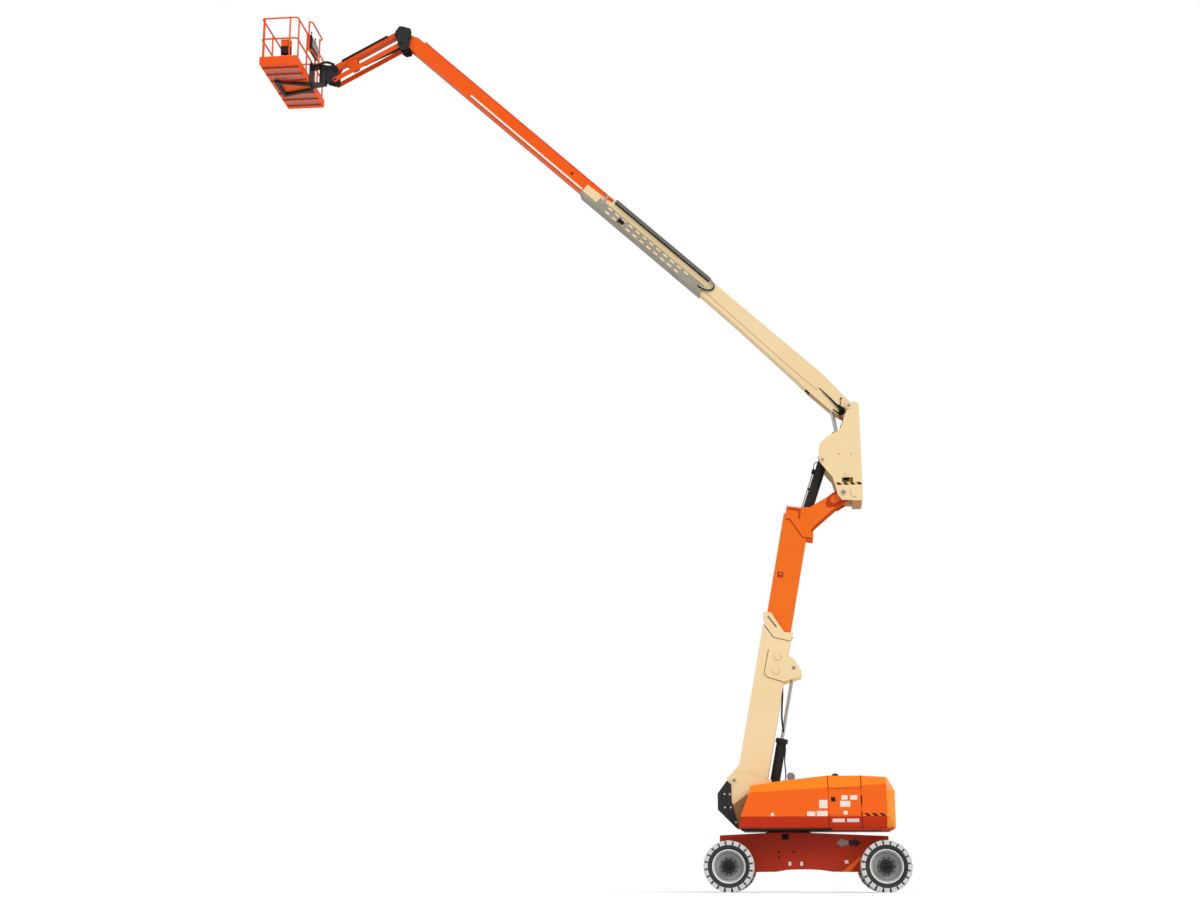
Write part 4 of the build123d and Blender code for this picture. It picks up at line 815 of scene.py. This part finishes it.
# Painted shade: the upright is painted brown below the foot line, the shade on the foot box's recessed
# front face.
dress(by_height(finish("upright_cream", "#EFD4A4", 0.45), "#B98048", [(7.905, 0, "#EFD4A4")]), "upright")
hazard_yellow = finish("hazard_yellow", "#E6C272", 0.4)
strip = bmesh.new()
add_plate_pair(strip, STRIP, UPRIGHT_SIDE, UPRIGHT_SIDE + SHEET)
dark_bars = bmesh.new()
for count in range(STRIP_BARS):
    start_x = STRIP_FROM + count * STRIP_PITCH
    bar = [(start_x + x, z) for x, z in STRIP_BAR]
    add_plate_pair(dark_bars, bar, UPRIGHT_SIDE + SHEET, UPRIGHT_SIDE + 2 * SHEET)
make_piece("upright_hazard_strip", strip, hazard_yellow, "upright", smooth=False)
make_piece("upright_hazard_bars", dark_bars, hazard_film, "upright", smooth=False)
marks = bmesh.new()
for x, z in UPRIGHT_BOLTS:
    add_pin_pair(marks, x, z, UPRIGHT_SIDE, UPRIGHT_SIDE + 0.006, 0.012, 12)
add_slots(marks, UPRIGHT_GROOVE, 0.004, UPRIGHT_SIDE, 0.002)
make_piece("upright_marks", marks, strap_dark, "upright", smooth=False)


# Main boom: a cream box tube with a stepped mouth, whose top stops short of its lower lips.
# Its side has a cover seam, and at the root a hose slot whose black is painted shade and a black boot
# darkened with painted shade, and a wear plate and a grey strap at the mouth.
BOOM_SIDE = -0.180
MOUTH_STEP = [(6.950, 0.100), (7.700, 0.056), (7.700, 0.250), (6.950, 0.250)]
boom_place = side_frame(JOINTS["main_lift"]["pos_m"], JOINTS["main_tele"]["axis"], 1)
step_form = bmesh.new()
add_outline_in(step_form, MOUTH_STEP, -0.300, 0.300, boom_place)
bmesh.ops.recalc_face_normals(step_form, faces=step_form.faces)
step_mesh = bpy.data.meshes.new("mouth_step")
step_form.to_mesh(step_mesh)
step_form.free()
mouth_step = bpy.data.objects.new("mouth_step", step_mesh)
scene.collection.objects.link(mouth_step)
tube_form = bmesh.new()
tube_form.from_mesh(frame["nodes"]["main_boom_base"].data)
bmesh.ops.remove_doubles(tube_form, verts=tube_form.verts, dist=0.00002)
boom_tube = make_piece("main_boom_tube", tube_form, cream, "main_base", smooth=False)
step_cut = boom_tube.modifiers.new("mouth_step", "BOOLEAN")
step_cut.operation = "DIFFERENCE"
step_cut.solver = "EXACT"
step_cut.object = mouth_step
cut_tube = boom_tube.evaluated_get(bpy.context.evaluated_depsgraph_get())
boom_tube.data = bpy.data.meshes.new_from_object(cut_tube)
boom_tube.modifiers.clear()
bpy.data.objects.remove(mouth_step)
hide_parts("main_boom_base")
seam_tan = finish("seam_tan", "#A88C5E", 0.6)
boom_seams = bmesh.new()
for start, end, half in (((0.76, -0.150), (1.31, -0.155), 0.005), ((1.31, -0.155), (4.05, -0.085), 0.005),
                         ((0.75, -0.090), (0.77, -0.155), 0.006), ((4.06, 0.195), (4.06, -0.178), 0.005)):
    add_slot(boom_seams, start, end, half, BOOM_SIDE - 0.002, BOOM_SIDE, boom_place)
make_piece("boom_cover_seams", boom_seams, seam_tan, "main_base", smooth=False)

# Painted shade: a black strip for the dark inside the hose slot, and a black patch at the root for a black
# boot and the shade round it.
hose_slot = bmesh.new()
add_slot(hose_slot, (0.19, -0.112), (0.74, -0.090), 0.011, BOOM_SIDE - 0.003, BOOM_SIDE, boom_place)
add_outline_in(hose_slot, [(0.21, -0.090), (0.05, -0.062), (-0.02, -0.120), (-0.02, -0.225), (0.06, -0.252),
                           (0.22, -0.262), (0.22, -0.235), (0.10, -0.225), (0.10, -0.150), (0.21, -0.130)],
               BOOM_SIDE - 0.003, BOOM_SIDE, boom_place)
make_piece("boom_hose_slot", hose_slot, hole_black, "main_base", smooth=False)

boom_fitting = bmesh.new()
add_block(boom_fitting, (0.83, BOOM_SIDE, -0.325), (0.94, -0.08, -0.285), boom_place, round_edges=0.006)
lock_pin = [boom_place @ Vector((u, BOOM_SIDE - 0.012, v)) for u, v in ((0.165, -0.065), (0.250, 0.045))]
add_rod(boom_fitting, *lock_pin, 0.005, 8)
add_rod(boom_fitting, lock_pin[0], lock_pin[0] + Vector((0, 0.012, 0)), 0.010, 8)
bmesh.ops.create_uvsphere(boom_fitting, u_segments=14, v_segments=8, radius=0.020,
                          matrix=Matrix.Translation(lock_pin[1]))
make_piece("boom_root_fittings", boom_fitting, hose_black, "main_base")

mouth_plate = bmesh.new()
add_outline_in(mouth_plate, [(7.215, -0.125), (7.640, -0.125), (7.640, 0.052), (7.215, 0.076)],
               BOOM_SIDE - 0.040, BOOM_SIDE, boom_place)
make_piece("boom_mouth_plate", mouth_plate, cream, "main_base", smooth=False)

strap_grey = finish("strap_grey", "#A9A498", 0.45)
strap = bmesh.new()
add_block(strap, (7.085, BOOM_SIDE - 0.046, -0.100), (7.135, BOOM_SIDE, 0.165), boom_place)
make_piece("boom_strap", strap, strap_grey, "main_base", smooth=False)


# Cable tray and link track: a grey pressed tray with two rows of slots, a rubber plug and a clip,
# and a grey chain of links whose hoses turn back round its end, with a black line under the chain that is
# painted shadow.
tray_grey = mottle(finish("tray_grey", "#9A9486", 0.5), "#938D80", "#A39D90", size=2)
dress(tray_grey, "cable_tray")
dress(finish("track_grey", "#6F6F6B", 0.6), "link_track")
TRAY_SIDE = -0.215
SLOT_PITCH = 0.205
LINKS = 44
LINK_PITCH = 0.062
tray_base = bmesh.new()
add_block(tray_base, (4.10, TRAY_SIDE, -0.208), (7.65, -TRAY_SIDE - 0.035, -0.198), boom_place)
make_piece("tray_bottom", tray_base, tray_grey, "main_base", smooth=False)
# Painted shadow: a black strip under the link track.
track_shade = bmesh.new()
add_block(track_shade, (4.11, BOOM_SIDE - 0.010, 0.122), (6.90, BOOM_SIDE, 0.150), boom_place)
make_piece("track_under_strip", track_shade, hose_black, "main_base", smooth=False)
tray_slots = bmesh.new()
for row_v, first_u, count in ((-0.045, 4.55, 12), (-0.150, 4.75, 11)):
    for step in range(count):
        slot_u = first_u + step * SLOT_PITCH
        add_block(tray_slots, (slot_u, TRAY_SIDE - 0.002, row_v - 0.019),
                  (slot_u + 0.115, TRAY_SIDE, row_v + 0.019), boom_place)
make_piece("tray_slots", tray_slots, cream, "main_base", smooth=False)
tray_plug = bmesh.new()
add_block(tray_plug, (6.41, TRAY_SIDE - 0.030, -0.150), (6.57, TRAY_SIDE, -0.060), boom_place,
          round_edges=0.012)
make_piece("tray_plug", tray_plug, hose_black, "main_base")
link_tops = bmesh.new()
for step in range(LINKS):
    link_u = 4.135 + step * LINK_PITCH
    add_block(link_tops, (link_u, -0.236, 0.212), (link_u + 0.030, -0.186, 0.222), boom_place)
make_piece("track_link_tops", link_tops, strap_grey, "main_base", smooth=False)
for turn_name, lift in (("inner", 0.0), ("outer", 0.028)):
    turn_hose = make_hose(f"track_turn_{turn_name}", local_route(boom_place, [
        (4.20, -0.210, 0.180 + lift * 0.4), (4.06, -0.210, 0.182 + lift * 0.4),
        (3.95 - lift, -0.212, 0.120), (3.96 - lift, -0.212, 0.010),
        (4.08, -0.212, -0.055 - lift), (4.22, -0.214, -0.060 - lift),
    ]), 0.017)
    if turn_name == "inner":
        turn_hose.data.materials[0] = pipe_grey
    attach(turn_hose, "main_base")


# Root hoses: two hoses leave the boom's side slot and drop in a loop to the upright.
for hose_name, off in (("front", 0.0), ("back", 0.026)):
    root_hose = make_hose(f"root_hose_{hose_name}", local_route(boom_place, [
        (0.66, -0.190, -0.092), (0.46, -0.194, -0.100 - off * 0.5), (0.24, -0.200, -0.112 - off),
        (0.10, -0.206 - off, -0.150 - off), (0.05, -0.212 - off, -0.235),
        (0.02, -0.220 - off, -0.290 + off), (-0.09, -0.225 - off, -0.296 + off),
        (-0.135, -0.228 - off, -0.345), (-0.17, -0.230 - off, -0.460),
    ]), 0.010)
    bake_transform(root_hose)


# Main boom fly: an orange box tube with a white stripe on its right side, above a dark line that is painted
# shadow.
# A flat push bar, welded to a foot at the far end, runs back above it and draws the hoses along.
FLY_FACE = -0.140
STRIPE_FROM = 7.70
STRIPE_TO = 11.17
fly_orange = mottle(finish("fly_orange", "#F0590C", 0.38), "#EE5408", "#F36214", size=0.8)
dress(fly_orange, "main_boom_fly")
push_form = bmesh.new()
add_block(push_form, (6.870, 0.020, 0.202), (12.950, 0.080, 0.226), boom_place)
add_block(push_form, (12.830, -0.020, 0.155), (12.950, 0.090, 0.226), boom_place, round_edges=0.006)
push_strip = make_piece("push_strip", push_form, fly_orange, "main_fly", smooth=False)
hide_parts("push_bar")
stripe_white = finish("stripe_white", "#F4E9D8", 0.4)
fly_stripe = bmesh.new()
add_block(fly_stripe, (STRIPE_FROM, FLY_FACE - 0.002, -0.112), (STRIPE_TO, FLY_FACE, -0.068), boom_place)
make_piece("fly_stripe", fly_stripe, stripe_white, "main_fly", smooth=False)
# Painted shadow: the deep orange line under the white stripe.
fly_line = bmesh.new()
add_block(fly_line, (STRIPE_FROM, FLY_FACE - 0.002, -0.134), (STRIPE_TO, FLY_FACE, -0.112), boom_place)
make_piece("fly_line", fly_line, deep_orange, "main_fly", smooth=False)
fly_plug = bmesh.new()
plug_place = boom_place @ Vector((8.12, 0, 0.04))
plug_ends = [(plug_place.x, FLY_FACE - out, plug_place.z) for out in (0, 0.012)]
add_rod(fly_plug, *plug_ends, 0.026, 20)
make_piece("fly_plug", fly_plug, hose_black, "main_fly")


# Jib: an orange arm and a pair of links between two black weldments, on pins with round caps.
# Outer plates cover the head and tie its pins, and a black hose cover is clipped along the arm's top.
JIB_DROOP = math.radians(28)
JIB_CAPS = [
    # joint whose pin it closes, body, outer face
    ("jib_lift", "jib_head", 0.121), ("links_turn", "jib_head", 0.180), ("jib_end_level", "jib_end", 0.121),
]
HEAD_PLATE = [
    (-8.420, 19.278), (-8.335, 19.265), (-8.165, 19.205), (-8.135, 19.110), (-8.180, 18.770),
    (-8.215, 18.705), (-8.330, 18.690), (-8.420, 18.760), (-8.455, 18.830), (-8.470, 19.100),
    (-8.462, 19.240),
]
HEAD_PLATE_IN = 0.192
HEAD_PLATE_OUT = 0.204
NOSE_PIN_END = 0.145
PIN_HEAD = 0.010
ARM_SIDE = 0.090
ARM_MARKS = [
    ((0.28, 0.095), (0.40, 0.020)), ((0.40, 0.095), (0.50, 0.020)), ((1.15, 0.035), (1.45, 0.035)),
]
jib_orange = mottle(finish("jib_orange", "#E6540C", 0.38), "#E04E08", "#EC5C14", size=0.8)
dress(plate_black, "jib_head", "jib_end", "platform_support")
dress(jib_orange, "jib_links", "jib_arm")
jib_along = (-math.cos(JIB_DROOP), 0, -math.sin(JIB_DROOP))
jib_place = side_frame(JOINTS["jib_lift"]["pos_m"], jib_along, 1)
hose_cover = bmesh.new()
add_block(hose_cover, (0.30, -0.100, 0.098), (1.50, -0.030, 0.160), jib_place, round_edges=0.012)
make_piece("jib_hose_cover", hose_cover, hose_black, "jib_arm")
for joint, body, face in JIB_CAPS:
    x, _, z = JOINTS[joint]["pos_m"]
    caps = bmesh.new()
    add_pin_pair(caps, x, z, face, face + 0.012, 0.060, 28, 0.052)
    make_piece(f"{joint}_caps", caps, latch_black, body)
head_plates = bmesh.new()
add_plate_pair(head_plates, HEAD_PLATE, HEAD_PLATE_IN, HEAD_PLATE_OUT)
x, _, z = JOINTS["head_level"]["pos_m"]
add_pin_pair(head_plates, x, z, NOSE_PIN_END, HEAD_PLATE_IN, 0.045, 28)
make_piece("jib_head_plates", head_plates, plate_black, "jib_head", smooth=False)
plate_pins = bmesh.new()
for joint in ("head_level", "links_turn"):
    x, _, z = JOINTS[joint]["pos_m"]
    add_pin_pair(plate_pins, x, z, HEAD_PLATE_OUT, HEAD_PLATE_OUT + PIN_HEAD, 0.040, 24, 0.034)
make_piece("jib_head_pins", plate_pins, latch_black, "jib_head")
arm_marks = bmesh.new()
for path in ARM_MARKS:
    add_slots(arm_marks, path, 0.008, ARM_SIDE, SHEET, jib_place)
make_piece("jib_arm_marks", arm_marks, deep_orange, "jib_arm", smooth=False)


# Platform floor: an orange steel pan with a kick board, on cross ribs and bolted to its support.
# Grey panels of steel grating show through its underside.
platform_orange = mottle(finish("platform_orange", "#F2580E", 0.38), "#F0520A", "#F66016", size=1.2)
dress(platform_orange, "platform_floor")
pan_low, pan_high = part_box("platform_floor")
RIB = 0.028
floor_ribs = bmesh.new()
for share in (0.08, 0.22, 0.36, 0.64, 0.78, 0.92):
    rib_y = pan_low[1] + (pan_high[1] - pan_low[1]) * share
    add_block(floor_ribs, (pan_low[0] + 0.01, rib_y - RIB / 2, pan_low[2] - RIB),
              (pan_high[0] - 0.01, rib_y + RIB / 2, pan_low[2]))
make_piece("floor_ribs", floor_ribs, deep_orange, "platform", smooth=False)
grating_grey = finish("grating_grey", "#8D8C8E", 0.4, 0.6)
grating = bmesh.new()
for share in (0.11, 0.18, 0.255, 0.325, 0.67, 0.745, 0.81, 0.885):
    panel_y = pan_low[1] + (pan_high[1] - pan_low[1]) * share
    for panel_x in (0.12, 0.34, 0.56, 0.76):
        add_block(grating, (pan_low[0] + panel_x * 0.86, panel_y - 0.05, pan_low[2] - 0.003),
                  (pan_low[0] + panel_x * 0.86 + 0.13, panel_y + 0.05, pan_low[2]))
make_piece("floor_grating", grating, grating_grey, "platform", smooth=False)


# Guard rails: bent steel tube in two closed loops on posts that stand in the pan.
# A second tube bows out round the console, over two posts of its own.
RAIL_RADIUS = 0.019
RAIL_BEND = 0.060
GUARD_BEND = 0.055
MID_RAIL = 18.620
SIDE_POSTS = (-11.285, -10.700)
END_POSTS = (-1.050, -0.350, 0.350, 1.050)


def ring_edges(ring):
    """The edges that join a ring's own points."""
    return list({edge for vert in ring for edge in vert.link_edges if set(edge.verts) <= set(ring)})


def add_bent_tube(form, path, radius, bend):
    """A round tube along a path of straight runs, turned with one bend radius at every corner."""
    path = [Vector(point) for point in path]
    ways = [(end - start).normalized() for start, end in zip(path, path[1:])]
    ring = bmesh.ops.create_circle(
        form, segments=16, radius=radius,
        matrix=Matrix.Translation(path[0]) @ ways[0].to_track_quat("Z", "Y").to_matrix().to_4x4(),
    )["verts"]
    here = path[0]
    for step, way in enumerate(ways):
        turn = way.angle(ways[step + 1]) if step + 1 < len(ways) else 0.0
        back = bend * math.tan(turn / 2)
        run = bmesh.ops.extrude_edge_only(form, edges=ring_edges(ring))["geom"]
        ring = [item for item in run if isinstance(item, bmesh.types.BMVert)]
        stop = path[step + 1] - way * back
        bmesh.ops.translate(form, vec=stop - here, verts=ring)
        if turn:
            onward = ways[step + 1]
            inward = (onward - way * way.dot(onward)).normalized()
            swept = bmesh.ops.spin(
                form, geom=ring + ring_edges(ring), cent=stop + inward * bend, axis=way.cross(onward),
                dvec=(0, 0, 0), angle=turn, steps=6, use_merge=False, use_normal_flip=False,
                use_duplicate=False,
            )["geom_last"]
            ring = [item for item in swept if isinstance(item, bmesh.types.BMVert)]
            here = path[step + 1] + onward * back
    bmesh.ops.remove_doubles(form, verts=form.verts, dist=0.0001)
    bmesh.ops.holes_fill(form, edges=[edge for edge in form.edges if edge.is_boundary], sides=0)


rail_low, rail_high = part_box("rail_rear")
front_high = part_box("rail_front")[1]
rear_x = rail_low[0] + RAIL_RADIUS
front_x = front_high[0] - RAIL_RADIUS
rail_y = rail_high[1] - RAIL_RADIUS
top_rail = rail_high[2] - RAIL_RADIUS
rails = bmesh.new()
for level in (MID_RAIL, top_rail):
    loop = [(rear_x, 0, level), (rear_x, -rail_y, level), (front_x, -rail_y, level),
            (front_x, rail_y, level), (rear_x, rail_y, level), (rear_x, 0, level)]
    add_bent_tube(rails, loop, RAIL_RADIUS, RAIL_BEND)
posts = [(x, sign * rail_y) for x in SIDE_POSTS for sign in (-1, 1)]
posts += [(x, y) for x in (rear_x, front_x) for y in END_POSTS]
for x, y in posts:
    add_rod(rails, (x, y, rail_low[2]), (x, y, top_rail), RAIL_RADIUS)
guard_rails = make_piece("guard_rails", rails, platform_orange, "platform")
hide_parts("rail_rear", "rail_front", "rail_left", "rail_right")

guard_low, guard_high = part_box("console_guard")
guard_in = guard_low[0] + RAIL_RADIUS
guard_out = guard_high[0] - RAIL_RADIUS
guard_ends = (guard_low[1] + RAIL_RADIUS, guard_high[1] - RAIL_RADIUS)
bow = bmesh.new()
for level in (guard_low[2] + RAIL_RADIUS, guard_high[2] - RAIL_RADIUS):
    add_bent_tube(bow, [(guard_in, guard_ends[0], level), (guard_out, guard_ends[0], level),
                        (guard_out, guard_ends[1], level), (guard_in, guard_ends[1], level)],
                  RAIL_RADIUS, GUARD_BEND)
for y in guard_ends:
    add_rod(bow, (guard_in, y, guard_low[2]), (guard_in, y, guard_high[2]), RAIL_RADIUS)
console_bow = make_piece("console_bow", bow, platform_orange, "platform")
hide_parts("console_guard")


# Console and storage box: a dark moulded console with a pale switch face, two levers with boots
# and a row of toggles, and a two-tone storage box on the near rail.
console_low, console_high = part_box("console")
dress(finish("console_black", "#252525", 0.5), "console")
box_paint = by_height(finish("box_two_tone", "#2A2A2A", 0.5), "#232323", [(18.44, 0, "#F2580E")])
dress(box_paint, "storage_box")
face_grey = finish("face_grey", "#8F9092", 0.4)
switch_face = bmesh.new()
add_block(switch_face, (console_low[0] + 0.004, console_low[1] + 0.03, console_high[2]),
          (console_low[0] + 0.030, console_high[1] - 0.03, console_high[2] + 0.006))
add_block(switch_face, (console_high[0], console_low[1] + 0.05, console_low[2] + 0.12),
          (console_high[0] + 0.008, console_high[1] - 0.05, console_high[2] - 0.09), round_edges=0.002)
make_piece("console_faces", switch_face, face_grey, "platform", smooth=False)
levers = bmesh.new()
for share in (0.2, 0.8):
    lever_y = console_low[1] + (console_high[1] - console_low[1]) * share
    foot = (console_low[0] + 0.016, lever_y, console_high[2] + 0.006)
    add_rod(levers, foot, (foot[0], lever_y, foot[2] + 0.03), 0.028, 16, 0.012)
    add_rod(levers, (foot[0], lever_y, foot[2] + 0.03), (foot[0], lever_y, foot[2] + 0.10), 0.010, 12)
    bmesh.ops.create_uvsphere(levers, u_segments=16, v_segments=10, radius=0.018,
                              matrix=Matrix.Translation((foot[0], lever_y, foot[2] + 0.105)))
for step in range(6):
    toggle_y = console_low[1] + (console_high[1] - console_low[1]) * (0.34 + 0.06 * step)
    add_rod(levers, (console_low[0] + 0.016, toggle_y, console_high[2] + 0.006),
            (console_low[0] + 0.016, toggle_y, console_high[2] + 0.034), 0.006, 8)
make_piece("console_levers", levers, hose_black, "platform")


# Swivel hoses: a bundle leaves the jib's end, hangs in a bow and comes up to the console.
for hose_name, off in (("upper", 0.0), ("lower", 0.045)):
    swivel_hose = make_hose(f"swivel_hose_{hose_name}", [
        (-9.93, -0.135 - off, 18.43 - off), (-10.05, -0.150 - off, 18.50 - off),
        (-10.18, -0.170 - off, 18.49 - off), (-10.32, -0.180 - off, 18.42 - off),
        (-10.42, -0.180 - off, 18.40 - off), (-10.478, -0.17, 18.44 + off),
    ], 0.018)
    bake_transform(swivel_hose)
